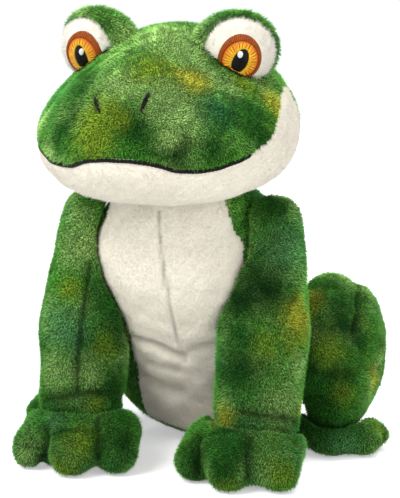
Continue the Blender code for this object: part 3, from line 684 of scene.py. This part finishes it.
def plush_finish(tree, shader, colour, root, ends, spread, sheen, tint):
    """Hair shading with painted shade at the roots and in folds, a pile bump and a soft sheen on a plush cloth."""
    tip = add(tree, "ShaderNodeAttribute", attribute_name="tip")
    shade = add(tree, "ShaderNodeAttribute", attribute_name="shade")
    fold = add(tree, "ShaderNodeAttribute", attribute_name="fold")
    place = add(tree, "ShaderNodeTexCoord")
    grain = add(tree, "ShaderNodeTexNoise", {"Scale": 900.0, "Detail": 2.0},
                [("Vector", place.outputs["Object"])])
    out = grouped(tree, hair, {"Root": root, "Ends": ends, "Spread": spread}, [
        ("Color", colour), ("Tip", tip.outputs["Fac"]), ("Shade", shade.outputs["Fac"]),
        ("Fold Shade", fold.outputs["Fac"]),
        ("Grain", grain.outputs[0])])
    tree.links.new(out, shader.inputs["Base Color"])
    bump = add(tree, "ShaderNodeBump", {"Strength": 0.5, "Distance": 0.0006},
               [("Height", grain.outputs[0])])
    tree.links.new(bump.outputs[0], shader.inputs["Normal"])
    shader.inputs["Roughness"].default_value = 0.85
    shader.inputs["Specular IOR Level"].default_value = 0.04
    shader.inputs["Sheen Weight"].default_value = sheen
    shader.inputs["Sheen Roughness"].default_value = 0.45
    shader.inputs["Sheen Tint"].default_value = tint


green, tree, shader = new_material("green_plush")
here = add(tree, "ShaderNodeTexCoord").outputs["Object"]
# The darkest green is painted shade; deep and pale green also serve as painted shade and painted highlight in the
# spots.
DEEP, GRASS, PALE = (0.020, 0.120, 0.013, 1), (0.100, 0.360, 0.038, 1), (0.350, 0.590, 0.160, 1)
BLUISH, OLIVE, BLUISH_PALE = (0.034, 0.190, 0.055, 1), (0.230, 0.370, 0.026, 1), (0.130, 0.360, 0.120, 1)
YELLOW, SHADE_GREEN = (0.500, 0.490, 0.036, 1), (0.006, 0.052, 0.006, 1)


def clouds(size, cover, softness, seed):
    """A mask of dye clouds of one size."""
    values = {"Size": size, "Cover": cover, "Softness": softness, "Seed": seed}
    return grouped(tree, cloud, values, [("Vector", here)])


colour = mix_colours(tree, clouds(0.046, 0.48, 0.20, 0.0), DEEP, GRASS)
colour = mix_colours(tree, clouds(0.036, 0.60, 0.16, 3.1), colour, PALE)
colour = mix_colours(tree, clouds(0.045, 0.60, 0.14, 7.7), colour, BLUISH)
colour = mix_colours(tree, clouds(0.034, 0.68, 0.12, 12.4), colour, OLIVE)
# Spots at places in the picture. Olive, yellow and bluish spots are dye patches. Pale spots are partly dye and partly
# painted highlight, as on the crown; deep spots are partly dye and partly painted shade; the darkest spots are
# painted shade in folds and creases.
SPOTS = (
    (166, 32, 26, PALE), (184, 50, 18, PALE), (120, 42, 14, PALE), (120, 86, 20, PALE),
    (180, 118, 18, PALE),
    (43, 121, 10, PALE), (50, 157, 12, PALE), (152, 68, 17, OLIVE), (212, 76, 11, PALE),
    (193, 82, 12, YELLOW),
    (166, 96, 13, PALE), (150, 112, 9, PALE), (232, 88, 9, PALE), (100, 116, 17, OLIVE),
    (91, 137, 17, OLIVE),
    (243, 84, 9, OLIVE), (277, 105, 12, YELLOW), (88, 72, 12, DEEP), (79, 92, 19, DEEP),
    (61, 129, 15, DEEP),
    (134, 127, 12, DEEP), (218, 110, 15, BLUISH), (250, 116, 16, DEEP), (174, 152, 13, SHADE_GREEN),
    (263, 138, 10, DEEP), (215, 150, 12, DEEP),
    (103, 28, 7, DEEP), (119, 25, 8, DEEP), (168, 138, 8, PALE), (118, 118, 8, OLIVE),
    (62, 328, 18, BLUISH_PALE), (82, 246, 17, PALE), (70, 290, 9, OLIVE), (106, 345, 11, OLIVE),
    (110, 300, 17, DEEP),
    (120, 328, 12, SHADE_GREEN), (56, 372, 14, PALE), (88, 372, 11, PALE), (97, 404, 8, OLIVE),
    (56, 420, 9, BLUISH_PALE),
    (114, 388, 12, SHADE_GREEN), (120, 415, 12, DEEP),
    (284, 250, 18, BLUISH_PALE), (272, 205, 10, DEEP), (238, 298, 16, SHADE_GREEN), (268, 290, 17, SHADE_GREEN),
    (298, 320, 14, YELLOW), (309, 300, 10, YELLOW), (296, 346, 9, OLIVE), (262, 345, 12, OLIVE),
    (240, 335, 15, DEEP), (240, 370, 16, SHADE_GREEN),
    (298, 368, 11, PALE), (283, 405, 17, PALE), (299, 410, 8, OLIVE), (224, 418, 9, YELLOW),
    (80, 442, 11, OLIVE), (26, 456, 10, PALE), (122, 442, 14, SHADE_GREEN), (60, 470, 10, OLIVE),
    (226, 484, 9, OLIVE), (281, 474, 11, OLIVE), (235, 450, 15, DEEP), (196, 460, 12, SHADE_GREEN),
    (296, 438, 9, DEEP), (222, 471, 10, SHADE_GREEN),
    (330, 350, 13, OLIVE), (374, 377, 10, YELLOW), (379, 360, 8, PALE), (344, 394, 9, OLIVE),
    (361, 341, 9, DEEP), (345, 298, 16, DEEP), (344, 322, 13, SHADE_GREEN),
    (380, 432, 9, OLIVE), (345, 450, 13, BLUISH_PALE), (318, 425, 15, DEEP),
)
wobble = add(tree, "ShaderNodeTexNoise", {"Scale": 120.0, "Detail": 2.0}, [("Vector", here)])
all_skins = tree_of(list(skins.values()))
# The spots mix in dye patches, painted highlights and painted shade.
for x, y, radius, paint in SPOTS:
    values = {"Centre": seen(x, y, all_skins), "Radius": radius / 1000}
    mask = grouped(tree, spot, values, [("Vector", here), ("Ragged", wobble.outputs[0])])
    colour = mix_colours(tree, mask, colour, paint)
# Painted shade: the green is mixed towards deep green lower down, near the floor.
height = add(tree, "ShaderNodeSeparateXYZ", {}, [(0, here)]).outputs["Z"]
low_shade = add(tree, "ShaderNodeMath", {1: 0.42},
            [(0, ramp(tree, height, 0.16, 0.03))], operation="MULTIPLY")
colour = mix_colours(tree, low_shade.outputs[0], colour, DEEP)
plush_finish(tree, shader, colour, 0.40, 1.85, 0.80, 0.10, (0.5, 1.0, 0.3, 1))


def cream_material(name, light, shadow):
    """Pale plush, a little darker in soft clouds."""
    mat, tree, shader = new_material(name)
    where = add(tree, "ShaderNodeTexCoord").outputs["Object"]
    mask = grouped(tree, cloud, {"Size": 0.03, "Cover": 0.5, "Softness": 0.2}, [("Vector", where)])
    shaded = mix_colours(tree, mask, shadow, light)
    plush_finish(tree, shader, shaded, 0.90, 1.08, 0.10, 0.08, (1.0, 0.97, 0.9, 1))
    return mat


cream = cream_material("cream_plush", (0.82, 0.765, 0.65, 1), (0.78, 0.72, 0.60, 1))
eye_white = cream_material("eye_plush", (0.80, 0.76, 0.67, 1), (0.75, 0.70, 0.60, 1))
CREAM_SKINS = {"panel": cream, "jaw": cream, "eye_left": eye_white, "eye_right": eye_white}
for key, skin in skins.items():
    skin.data.materials.clear()
    skin.data.materials.append(CREAM_SKINS.get(key, green))
print("materials", [m.name for m in bpy.data.materials])

# %% [markdown]
# ## Embroidery
# Eyes, pupils and nostrils are satin stitch: threads laid side by side that swell into a low
# cushion. Each patch is a fine grid laid on the cloth, with one ridge for each few threads, and
# closed underneath. The shader adds the single threads along one direction of the patch, and
# paints the grooves between them darker as painted shade.

# %% Lay embroidered patches on the cloth
thread, ins, outs = new_group(
    "Satin Thread",
    [("Vector", VECTOR, None), ("Count", FLOAT, 60.0), ("Color", COLOUR, (0.5, 0.3, 0.1, 1)),
     ("Deep", COLOUR, (0.2, 0.1, 0.05, 1))],
    [("Color", COLOUR), ("Height", FLOAT)],
)
parts = add(thread, "ShaderNodeSeparateXYZ", {}, [(0, ins.outputs["Vector"])])
count = add(thread, "ShaderNodeMath", {},
            [(0, parts.outputs["X"]), (1, ins.outputs["Count"])], operation="MULTIPLY")
noise_at = add(thread, "ShaderNodeCombineXYZ", {},
               [("X", count.outputs[0]), ("Y", parts.outputs["Y"])])
ragged = add(thread, "ShaderNodeTexNoise", {"Scale": 0.8, "Detail": 2.0},
             [("Vector", noise_at.outputs[0])])
turns = add(thread, "ShaderNodeMath", {1: 6.2832}, [(0, count.outputs[0])], operation="MULTIPLY")
wave = add(thread, "ShaderNodeMath", {}, [(0, turns.outputs[0])], operation="SINE")
round_top = add(thread, "ShaderNodeMapRange", {1: -1.0, 2: 1.0}, [(0, wave.outputs[0])])
mixed = add(thread, "ShaderNodeMath", {},
            [(0, round_top.outputs[0]), (1, ragged.outputs[0])], operation="MULTIPLY")
# Between the threads the colour falls to Deep: painted shade in the grooves.
share = add(thread, "ShaderNodeMapRange", {1: 0.08, 2: 0.45}, [(0, mixed.outputs[0])])
silk = mix_colours(thread, share.outputs[0], ins.outputs["Deep"], ins.outputs["Color"])
thread.links.new(silk, outs.inputs["Color"])
thread.links.new(round_top.outputs[0], outs.inputs["Height"])


def thread_material(name, light, deep, count, roughness=0.5, gleam=0.3):
    """A shiny embroidery thread that runs across a patch; its deep colour is painted shade between the threads."""
    mat, tree, shader = new_material(name)
    where = add(tree, "ShaderNodeUVMap", uv_map="threads")
    node = add(tree, "ShaderNodeGroup")
    node.node_tree = thread
    node.inputs["Count"].default_value = count
    node.inputs["Color"].default_value, node.inputs["Deep"].default_value = light, deep
    tree.links.new(where.outputs[0], node.inputs["Vector"])
    tree.links.new(node.outputs["Color"], shader.inputs["Base Color"])
    bump = add(tree, "ShaderNodeBump", {"Strength": 0.6, "Distance": 0.0003},
               [("Height", node.outputs["Height"])])
    tree.links.new(bump.outputs[0], shader.inputs["Normal"])
    shader.inputs["Roughness"].default_value = roughness
    shader.inputs["Specular IOR Level"].default_value = gleam
    return mat


def patch(name, frame_at, outline, cloth_tree, height, mat, inner=None, ridges=0, rings=10,
          around=96, ridge=0.12):
    """A stitched patch. frame_at is (centre, right, up, out). outline and inner give a radius
    for an angle."""
    centre, side, top, out = (Vector(v) for v in frame_at)
    verts, uvs = [], []
    for ring in range(rings + 1):
        share = ring / rings
        for k in range(around):
            angle = 2 * math.pi * k / around
            start = inner(angle) if inner else 0.02 * outline(angle)
            radius = start + (outline(angle) - start) * share
            flat = centre + side * (math.cos(angle) * radius) + top * (math.sin(angle) * radius)
            hit, normal, _, _ = cloth_tree.ray_cast(flat + out * 0.03, -out)
            if hit is None:
                hit, normal, _, _ = cloth_tree.find_nearest(flat)
            dip = (2 * share - 1) ** 2 if inner else share**4
            dome = math.sqrt(max(0.0, 1 - dip))
            rib = 1 + ridge * math.cos(angle * ridges) * math.sin(math.pi * share) if ridges else 1.0
            verts.append(hit + out * (0.0004 + height * dome * rib))
            uvs.append((k / around, share))
    under = [v - out * (0.0012 + (v - verts[i]).length) for i, v in enumerate(verts)]
    count, faces = len(verts), []
    for ring in range(rings):
        for k in range(around):
            a, b = ring * around + k, ring * around + (k + 1) % around
            faces.append((a, a + around, b + around, b))
            faces.append((count + a, count + b, count + b + around, count + a + around))
    for k in range(around):
        j = (k + 1) % around
        a, b = rings * around + k, rings * around + j
        faces.append((a, count + a, count + b, b))
        faces.append((k, j, count + j, count + k))
    obj = new_object(name, verts + under, faces)
    layer = obj.data.uv_layers.new(name="threads")
    for poly in obj.data.polygons:
        turned = [uvs[v % count][0] for v in poly.vertices]
        wrap = max(turned) - min(turned) > 0.5
        for loop, v, u in zip(poly.loop_indices, poly.vertices, turned):
            layer.data[loop].uv = (u + 1 if wrap and u < 0.5 else u, uvs[v % count][1])
    obj.data.materials.append(mat)
    return obj


print("embroidery ready")

# %% [markdown]
# ## The eyes
# Each eye is a cream plush ball. Its iris is satin stitch: a dark ring that is thicker above,
# an amber field with a yellow ray for each few threads, a tall black pupil, and a white spot
# for the highlight.

# %% Embroider the eyes
EYE_OUTWARD, EYE_DOWNWARD = math.radians(19), math.radians(9)
EYE_TILTS = {1: math.radians(24), -1: math.radians(8)}
EYE_ROLLS = {1: (math.radians(3), math.radians(6)), -1: (math.radians(-8), math.radians(9))}
EYE_SIZE = (0.0222, 0.0185, 0.0207)
EYE_PLACE = (0.0437, -0.0295, 0.256)
# The second colour of each thread is painted shade between the threads.
maroon = thread_material("maroon_thread", (0.33, 0.072, 0.003, 1), (0.12, 0.018, 0.002, 1), 70, 0.6, 0.15)
black = thread_material("black_thread", (0.006, 0.005, 0.005, 1), (0.002, 0.002, 0.002, 1), 48, 0.6, 0.15)
white = thread_material("white_thread", (0.86, 0.86, 0.84, 1), (0.60, 0.58, 0.54, 1), 24)
amber, tree, shader = new_material("amber_thread")
where = add(tree, "ShaderNodeUVMap", uv_map="threads")
node = add(tree, "ShaderNodeGroup")
node.node_tree = thread
node.inputs["Count"].default_value = 72
# Deep is the painted shade between the threads.
node.inputs["Deep"].default_value = (0.36, 0.075, 0.004, 1)
parts = add(tree, "ShaderNodeSeparateXYZ", {}, [(0, where.outputs[0])])
ray_turn = add(tree, "ShaderNodeMath", {1: 6.2832 * 30},
               [(0, parts.outputs["X"])], operation="MULTIPLY")
ray = add(tree, "ShaderNodeMath", {}, [(0, ray_turn.outputs[0])], operation="SINE")
reach = add(tree, "ShaderNodeMath", {1: 0.20, 2: 0.62},
            [(0, ray.outputs[0])], operation="MULTIPLY_ADD")
past = add(tree, "ShaderNodeMath", {},
           [(0, parts.outputs["Y"]), (1, reach.outputs[0])], operation="SUBTRACT")
yellow = ramp(tree, past.outputs[0], 0.10, -0.22)
between = ramp(tree, ray.outputs[0], -0.35, -0.95)
from_pupil = ramp(tree, parts.outputs["Y"], 0.10, 0.45)
dark_line = add(tree, "ShaderNodeMath", {}, [(0, between), (1, from_pupil)], operation="MULTIPLY")
outer = ramp(tree, parts.outputs["Y"], 0.72, 1.0)
field = mix_colours(tree, yellow, (0.94, 0.38, 0.002, 1), (1.0, 0.68, 0.02, 1))
field = mix_colours(tree, dark_line.outputs[0], field, (0.42, 0.10, 0.002, 1))
field = mix_colours(tree, outer, field, (0.56, 0.13, 0.004, 1))
tree.links.new(field, node.inputs["Color"])
tree.links.new(where.outputs[0], node.inputs["Vector"])
tree.links.new(node.outputs["Color"], shader.inputs["Base Color"])
bump = add(tree, "ShaderNodeBump", {"Strength": 0.6, "Distance": 0.0003},
           [("Height", node.outputs["Height"])])
tree.links.new(bump.outputs[0], shader.inputs["Normal"])
shader.inputs["Roughness"].default_value = 0.5
shader.inputs["Specular IOR Level"].default_value = 0.25


def oval(wide, tall, thick_above=0.0, shift=0.0):
    """A radius for each angle of an oval that may bulge more above."""
    def radius(angle):
        c, s = math.cos(angle) / wide, math.sin(angle) / tall
        return 1 / math.sqrt(c * c + s * s) + thick_above * max(0.0, math.sin(angle + shift)) ** 2
    return radius


def eye_axes(k):
    """The eye's middle, and its sideways, upward and gaze directions, with the stitching's tilt."""
    turn = Matrix.Rotation(k * EYE_OUTWARD, 3, "Z") @ Matrix.Rotation(EYE_DOWNWARD, 3, "X")
    outward, down = EYE_ROLLS[k]
    rolled = turn @ Matrix.Rotation(k * outward, 3, "Z") @ Matrix.Rotation(down, 3, "X")
    tilt = rolled @ Matrix.Rotation(k * EYE_TILTS[k], 3, "Y")
    middle = Vector((k * EYE_PLACE[0], *EYE_PLACE[1:]))
    return middle, tilt @ Vector((1, 0, 0)), tilt @ Vector((0, 0, 1)), rolled @ Vector((0, -1, 0)), turn


details = {}
for side, k in (("left", 1), ("right", -1)):
    cloth = tree_of([skins["eye_" + side]])
    middle, across, top, gaze, _ = eye_axes(k)
    at = (middle + gaze * EYE_SIZE[1], across, top, gaze)
    glint_at = (at[0] + top * 0.0040 - across * (0.0018 * k), across, top, gaze)
    ring = oval(0.0125, 0.0137, 0.0010, -0.5 * k)
    details["iris_rim_" + side] = patch(f"iris_rim_{side}_stitched", at, ring, cloth, 0.0010, maroon,
                                        inner=oval(0.0102, 0.0114), ridges=60, rings=6, around=180)
    details["iris_" + side] = patch(f"iris_{side}_stitched", at, oval(0.0104, 0.0116), cloth, 0.0011, amber,
                                    inner=oval(0.0041, 0.0075), ridges=36, rings=12, around=180)
    details["pupil_" + side] = patch(f"pupil_{side}_stitched", at, oval(*PUPIL_SIZE), cloth,
                                     0.0011, black, ridges=24)
    details["glint_" + side] = patch(f"glint_{side}_stitched", glint_at, oval(*GLINT_SIZE), cloth,
                                     0.0020, white, rings=6, around=32)
print("eye patches", sorted(details))

# %% [markdown]
# ## The hoods
# A green hood lies over each ball. It comes furthest forward above and beside the nose, and its
# edge is rolled under.

# %% Form the hoods
def hood(name, k):
    """A thick cap on the ball whose front edge follows the brow, closed and rolled at its edge."""
    middle, _, _, _, turn = eye_axes(k)
    rows, around, verts, faces = 16, 72, [], []
    for layer in (0, 1):
        for row in range(rows + 1):
            for i in range(around):
                angle = 2 * math.pi * i / around
                inward, above = -k * math.cos(angle), math.sin(angle)
                edge = math.radians(86 + HOOD_LOWER[k] * max(above, 0)
                                    - 20 * max(inward, 0) ** 2 + 2 * max(-inward, 0))
                open_angle = edge + (math.radians(177) - edge) * row / rows
                ring = math.sin(open_angle)
                way = Vector((ring * math.cos(angle), -math.cos(open_angle), ring * math.sin(angle)))
                roll = math.sqrt(min(1.0, row / 3.0 + 0.05))
                grow = 0.0002 if layer else 0.0006 + (0.0022 + 0.0024 * max(inward, 0) ** 2) * roll
                spot_at = Vector([w * (s + grow) for w, s in zip(way, EYE_SIZE)])
                verts.append(middle + turn @ spot_at)
    step = (rows + 1) * around
    for row in range(rows):
        for i in range(around):
            a, b = row * around + i, row * around + (i + 1) % around
            faces.append((a, a + around, b + around, b))
            faces.append((step + a, step + b, step + b + around, step + a + around))
    for i in range(around):
        j, last = (i + 1) % around, rows * around
        faces.append((i, j, step + j, step + i))
        faces.append((last + i, step + last + i, step + last + j, last + j))
    obj = new_object(name, verts, faces)
    bm = bmesh.new()
    bm.from_mesh(obj.data)
    bmesh.ops.recalc_face_normals(bm, faces=bm.faces)
    bm.to_mesh(obj.data)
    bm.free()
    obj.data.materials.append(green)
    return obj


for side, k in (("left", 1), ("right", -1)):
    skins["eyelid_" + side] = hood(f"eyelid_{side}_skin", k)
print("hoods", [len(skins["eyelid_" + s].data.polygons) for s in SIDES])

# %% [markdown]
# ## Mouth cord and nostrils
# A black cord is sewn along the seam between face and jaw. It is twisted from two strands. Each
# nostril is a narrow slit in satin stitch.

# %% Lay the cord and stitch the nostrils
head_tree = tree_of([skins["head"], skins["jaw"]])
CORD_END, CORD_RADIUS = 0.71, 0.00115
line = []
for i in range(181):
    angle = math.radians(-90 + i)
    way = Vector((math.sin(angle), -math.cos(angle), 0))
    low, high = 0.0, 0.16
    start = Vector((0, HEAD_START - HEAD_LENGTH * 0.55, 0))
    for _ in range(24):
        spot_at = start + way * (low + high) / 2
        spot_at.z = float(mouth_height(spot_at.y))
        place, normal, _, _ = head_tree.find_nearest(spot_at)
        if (spot_at - place).dot(normal) < 0:
            low = (low + high) / 2
        else:
            high = (low + high) / 2
    if (HEAD_START - spot_at.y) / HEAD_LENGTH > CORD_END:
        line.append((spot_at, normal))
cord_line = np.array([np.array(p) + np.array(n) * CORD_LIFT for p, n in line])
for _ in range(3):
    cord_line[1:-1] = (cord_line[:-2] + cord_line[1:-1] * 2 + cord_line[2:]) / 4


def twisted(name, path, radius, pitch, mat, sides=12):
    """A cord of two strands wound round each other, as one tube with a lobed section."""
    gone = np.concatenate(([0], np.cumsum(np.linalg.norm(np.diff(path, axis=0), axis=1))))
    spots = np.arange(0, gone[-1], pitch / 8)
    fine = np.stack([np.interp(spots, gone, path[:, i]) for i in range(3)], axis=1)
    way = unit(np.gradient(fine, axis=0))
    first = unit(np.cross(way, (0, 0, 1)))
    second = np.cross(first, way)
    verts = []
    for row, (p, u, v) in enumerate(zip(fine, first, second)):
        end = min(row, len(fine) - 1 - row)
        size = radius * min(1.0, 0.35 + end / 6)
        for s in range(sides):
            angle = 2 * math.pi * s / sides
            lobe = 0.80 + 0.24 * abs(math.cos(angle - math.pi * spots[row] / pitch))
            verts.append(p + (u * math.cos(angle) + v * math.sin(angle)) * size * lobe)
    rows = len(fine)
    faces = [(r * sides + s, r * sides + (s + 1) % sides, (r + 1) * sides + (s + 1) % sides, (r + 1) * sides + s)
             for r in range(rows - 1) for s in range(sides)]
    faces += [tuple(reversed(range(sides))), tuple(range((rows - 1) * sides, rows * sides))]
    obj = new_object(name, verts, faces)
    layer = obj.data.uv_layers.new(name="threads")
    for loop in obj.data.loops:
        row, s = divmod(loop.vertex_index, sides)
        layer.data[loop.index].uv = (row / 60 + s / sides / 8, s / sides)
    obj.data.materials.append(mat)
    return obj


NOSTRILS = {1: (0.0124, -0.1020, -5), -1: (-0.0156, -0.1030, 30)}
nostril_lines = []
details["mouth_piping"] = twisted("mouth_cord", cord_line, CORD_RADIUS, 0.0024, black)
for side, k in (("left", 1), ("right", -1)):
    hit, normal, _, _ = head_tree.ray_cast(Vector((*NOSTRILS[k][:2], 0.32)), Vector((0, 0, -1)))
    across = Vector((1, 0, 0)) - normal * normal.x
    across.normalize()
    rise = normal.cross(across) * -1 if normal.cross(across).z < 0 else normal.cross(across)
    tilt = Matrix.Rotation(math.radians(NOSTRILS[k][2]), 3, normal)
    at = (hit, tilt @ across, tilt @ rise, normal)
    nostril_lines.append(np.array([hit + tilt @ rise * reach for reach in (-0.0066, 0.0, 0.0066)]))
    details["nostril_" + side] = patch(f"nostril_{side}_stitched", at, oval(0.0011, 0.0071), head_tree, 0.0014, black,
                                       ridges=30, rings=6, around=60)
print("cord", len(cord_line), "points")

# %% [markdown]
# ## Short pile
# Plush is a knitted cloth with a dense pile. Each hair here is a thin closed spike that leans
# along the nap, with small whorls, as the real pile has. Hairs that would reach into the floor
# or into a neighbouring part are left out. Each hair gets its own square of the texture, so its
# colour survives when the piece is exported.

# %% Grow the pile
def scattered(obj, spacing, rng):
    """Random places on a surface with their smooth normals."""
    co, _, tris = arrays(obj)
    normal = normals_of(obj)
    a, b, c = (co[tris[:, i]] for i in range(3))
    area = np.linalg.norm(np.cross(b - a, c - a), axis=1) / 2
    count = np.floor(area / spacing**2 + rng.random(len(area))).astype(int)
    pick = np.repeat(np.arange(len(tris)), count)
    u, v = rng.random(len(pick)), rng.random(len(pick))
    over = u + v > 1
    u[over], v[over] = 1 - u[over], 1 - v[over]
    weights = np.stack((1 - u - v, u, v), axis=1)
    fold = (folds_of(obj)[tris[pick]] * weights).sum(axis=1)
    weights = weights[:, :, None]
    return (co[tris[pick]] * weights).sum(axis=1), unit((normal[tris[pick]] * weights).sum(axis=1)), fold


def area_of(obj):
    """The area of a surface."""
    return sum(poly.area for poly in obj.data.polygons)


MOST_HAIRS = 49000


def clear_of(root, tip, tree):
    """Which hairs stay out of the neighbours."""
    good = tip[:, 2] > 0.0003
    for i in np.flatnonzero(good):
        place, normal, _, away = tree.find_nearest(Vector(tip[i]), 0.004)
        if away is not None and (away < 0.0003 or (Vector(tip[i]) - place).dot(normal) < 0):
            good[i] = False
    return good


SCRAMBLE = ((12.99, 39.35, 26.65), (78.23, 11.14, 63.72), (37.72, 83.16, 17.54))


def tufts(p, size):
    """A direction at each point that neighbours within this distance share."""
    low = np.floor(p / size)
    share = p / size - low
    share = share * share * (3 - 2 * share)
    total = np.zeros_like(p)
    for corner in np.ndindex(2, 2, 2):
        weight = np.prod(np.where(corner, share, 1 - share), axis=1)
        lot = np.sin((low + corner) @ np.array(SCRAMBLE))
        total += weight[:, None] * (2 * np.mod(lot * 43758.5, 1) - 1)
    return total * 0.7


HAIR_LEAN, HAIR_ROOT = 0.75, 0.0004


def grow_pile(name, skin, others, spacing, length, width, nap, seed, bare=None):
    """A coat of hairs on a skin, apart from where it is bare."""
    rng = np.random.default_rng(seed)
    spacing = max(spacing, math.sqrt(area_of(skin) / MOST_HAIRS))
    root, out, fold = scattered(skin, spacing, rng)
    hairy = fold < 0.75
    if bare is not None:
        hairy &= ~bare(root)
    root, out, fold = root[hairy], out[hairy], fold[hairy]
    nap = nap(root) if callable(nap) else np.tile(np.asarray(nap, float), (len(root), 1))
    flow = nap - out * (out * nap).sum(axis=1)[:, None]
    flow = unit(flow + rng.normal(0, 1e-4, flow.shape))
    turn = whorl(root, 0.0085) * 1.1 + whorl(root, 0.021) * 0.6
    flow = flow * np.cos(turn)[:, None] + np.cross(out, flow) * np.sin(turn)[:, None]
    rise = 0.9 + 0.35 * whorl(root + 0.01, 0.006)
    tuft = tufts(root, 0.0026)
    way = unit(out * rise[:, None] + flow * HAIR_LEAN + tuft * 0.4 + rng.normal(0, 0.22, root.shape))
    long = length * (0.65 + 0.6 * rng.random(len(root))) * (1 + 0.18 * whorl(root, 0.005)) * (1 - 0.5 * fold)
    tip = root + way * long[:, None]
    shade = np.clip(0.5 + 0.35 * tufts(root + 0.2, 0.003)[:, 0] + 0.22 * rng.normal(size=len(root)), 0, 1)
    good = clear_of(root, tip, tree_of(others))
    root, out, way, tip, fold, shade = root[good], out[good], way[good], tip[good], fold[good], shade[good]
    count = len(root)
    first = unit(np.cross(way, out + rng.normal(0, 0.05, out.shape)))
    second = np.cross(way, first)
    verts = np.empty((count, 4, 3))
    for corner in range(3):
        angle = 2.094 * corner + 0.5
        side_way = first * math.cos(angle) + second * math.sin(angle)
        verts[:, corner] = root - out * HAIR_ROOT + side_way * width / 2
    verts[:, 3] = tip
    faces = np.array(((0, 1, 3), (1, 2, 3), (2, 0, 3), (2, 1, 0)))
    corners = (faces[None] + 4 * np.arange(count)[:, None, None]).ravel()
    mesh = bpy.data.meshes.new(name)
    mesh.vertices.add(count * 4)
    mesh.vertices.foreach_set("co", verts.astype(np.float32).ravel())
    mesh.loops.add(len(corners))
    mesh.loops.foreach_set("vertex_index", corners.astype(np.int32))
    mesh.polygons.add(count * 4)
    mesh.polygons.foreach_set("loop_start", np.arange(0, len(corners), 3, dtype=np.int32))
    mesh.update(calc_edges=True)
    mesh.polygons.foreach_set("use_smooth", [True] * (count * 4))
    tips = mesh.attributes.new("tip", "FLOAT", "POINT")
    tips.data.foreach_set("value", np.tile((0.0, 0.0, 0.0, 1.0), count).astype(np.float32))
    for label, value in (("shade", shade), ("fold", fold)):
        layer = mesh.attributes.new(label, "FLOAT", "POINT")
        layer.data.foreach_set("value", np.repeat(value, 4).astype(np.float32))
    across = math.ceil(math.sqrt(count))
    cell = np.stack((np.arange(count) % across, np.arange(count) // across), axis=1)
    shape = np.array(((0.15, 0.15), (0.85, 0.15), (0.5, 0.85)))
    uv = (cell[:, None, None, :] + np.tile(shape, (4, 1, 1))[None]) / across
    mesh.uv_layers.new(name="OFBake").data.foreach_set("uv", uv.astype(np.float32).ravel())
    share = np.array((0.5, 0.5, 0.5, 0.08))[None, :, None]
    soft = out[:, None] * 0.75 + (verts - root[:, None]) / width * share
    soft = unit(soft.reshape(-1, 3) + 1e-9)
    mesh.normals_split_custom_set_from_vertices(soft.astype(np.float32))
    obj = bpy.data.objects.new(name, mesh)
    scene.collection.objects.link(obj)
    mesh.materials.append(skin.data.materials[0])
    return obj


def off_the_iris(k):
    """Where an eye has stitches instead of pile."""
    middle, across, top, gaze, _ = eye_axes(k)

    def bare(p):
        off = p - np.array(middle)
        x, z = off @ np.array(across) / 0.0124, off @ np.array(top) / 0.0138
        return (x * x + z * z < 1) & (off @ np.array(gaze) > 0)
    return bare


def from_the_iris(k):
    """A nap that runs outward from the middle of an eye."""
    middle, _, _, gaze, _ = eye_axes(k)

    def nap(p):
        off = p - np.array(middle)
        return unit(off - np.outer(off @ np.array(gaze), np.array(gaze)) + 1e-6)
    return nap


NAPS = {"head": (0, -0.25, -1), "jaw": (0, 0, -1),
        "eye_left": from_the_iris(1), "eye_right": from_the_iris(-1)}


def off_the_stitches(p):
    """Where the face has stitches or the cord instead of pile."""
    near = away_from(p, cord_line) < 0.0007
    for line in nostril_lines:
        near |= away_from(p, line) < 0.0014
    return near


def off_the_face(p):
    """Where the head has no pile: at its stitches, and where it meets the neck."""
    return off_the_stitches(p) | (off_the_neck(p) < NECK_GAP)


NECK_GAP = 0.0030
BARE = {"eye_left": off_the_iris(1), "eye_right": off_the_iris(-1), "head": off_the_face, "jaw": off_the_face}
group_of = {key: key for key in skins}
group_of.update({"panel": "trunk", "jaw": "head"})
group_of.update({"eye_left": "eyelid_left", "eye_right": "eyelid_right"})
piles = {}
for number, (key, skin) in enumerate(skins.items()):
    if key == "neck":
        continue
    near = [s for k, s in skins.items() if group_of[k] != group_of[key]]
    eye = key.startswith("eye")
    pale = key in CREAM_SKINS
    spacing, long, thick = (0.0008, 0.0016, 0.0004) if pale else (0.00098, 0.0021, 0.00050)
    if eye:
        long = 0.0026
    piles[key] = grow_pile(key + "_pile", skin, near, spacing, long, thick, NAPS.get(key, (0, 0, -1)), number,
                           BARE.get(key))
    print(piles[key].name, len(piles[key].data.polygons), "faces")

# %% [markdown]
# ## Cloth with a thickness
# The skins get the thickness of the cloth, inward, so each is a closed piece.

# %% Thicken the skins
for key, skin in skins.items():
    if key.startswith("eyelid"):
        continue
    solid = skin.modifiers.new("thickness", "SOLIDIFY")
    solid.thickness, solid.offset = 0.0014, -1
    applied(skin)

# %% [markdown]
# ## Riding on the bodies
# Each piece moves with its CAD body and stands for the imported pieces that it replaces.

# %% Ride and replace
RIDES = {"trunk": "torso", "panel": "torso", "jaw": "head"}
RIDES.update({f"{part}_{side}": "head" for part in ("eye", "eyelid") for side in SIDES})
STANDS = {
    "trunk": ["body_cover", "body_stuffing", "pellet_bag"], "panel": ["belly_panel"],
    "head": ["head_cover", "head_stuffing"], "jaw": ["chin_cover"], "neck": ["neck_disc"],
    "eyelid_left": ["eyelid_left"], "eyelid_right": ["eyelid_right"],
}
for key, skin in skins.items():
    sources = STANDS.get(key) or [
        f"{key.rsplit('_', 1)[0]}_{n}_{key.rsplit('_', 1)[1]}" for n in ("cover", "stuffing")
    ]
    for piece in [skin] + ([piles[key]] if key in piles else []):
        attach(piece, RIDES.get(key, key))
    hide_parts(*sources)
for node_name, piece in details.items():
    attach(piece, "head")
    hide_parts(node_name)
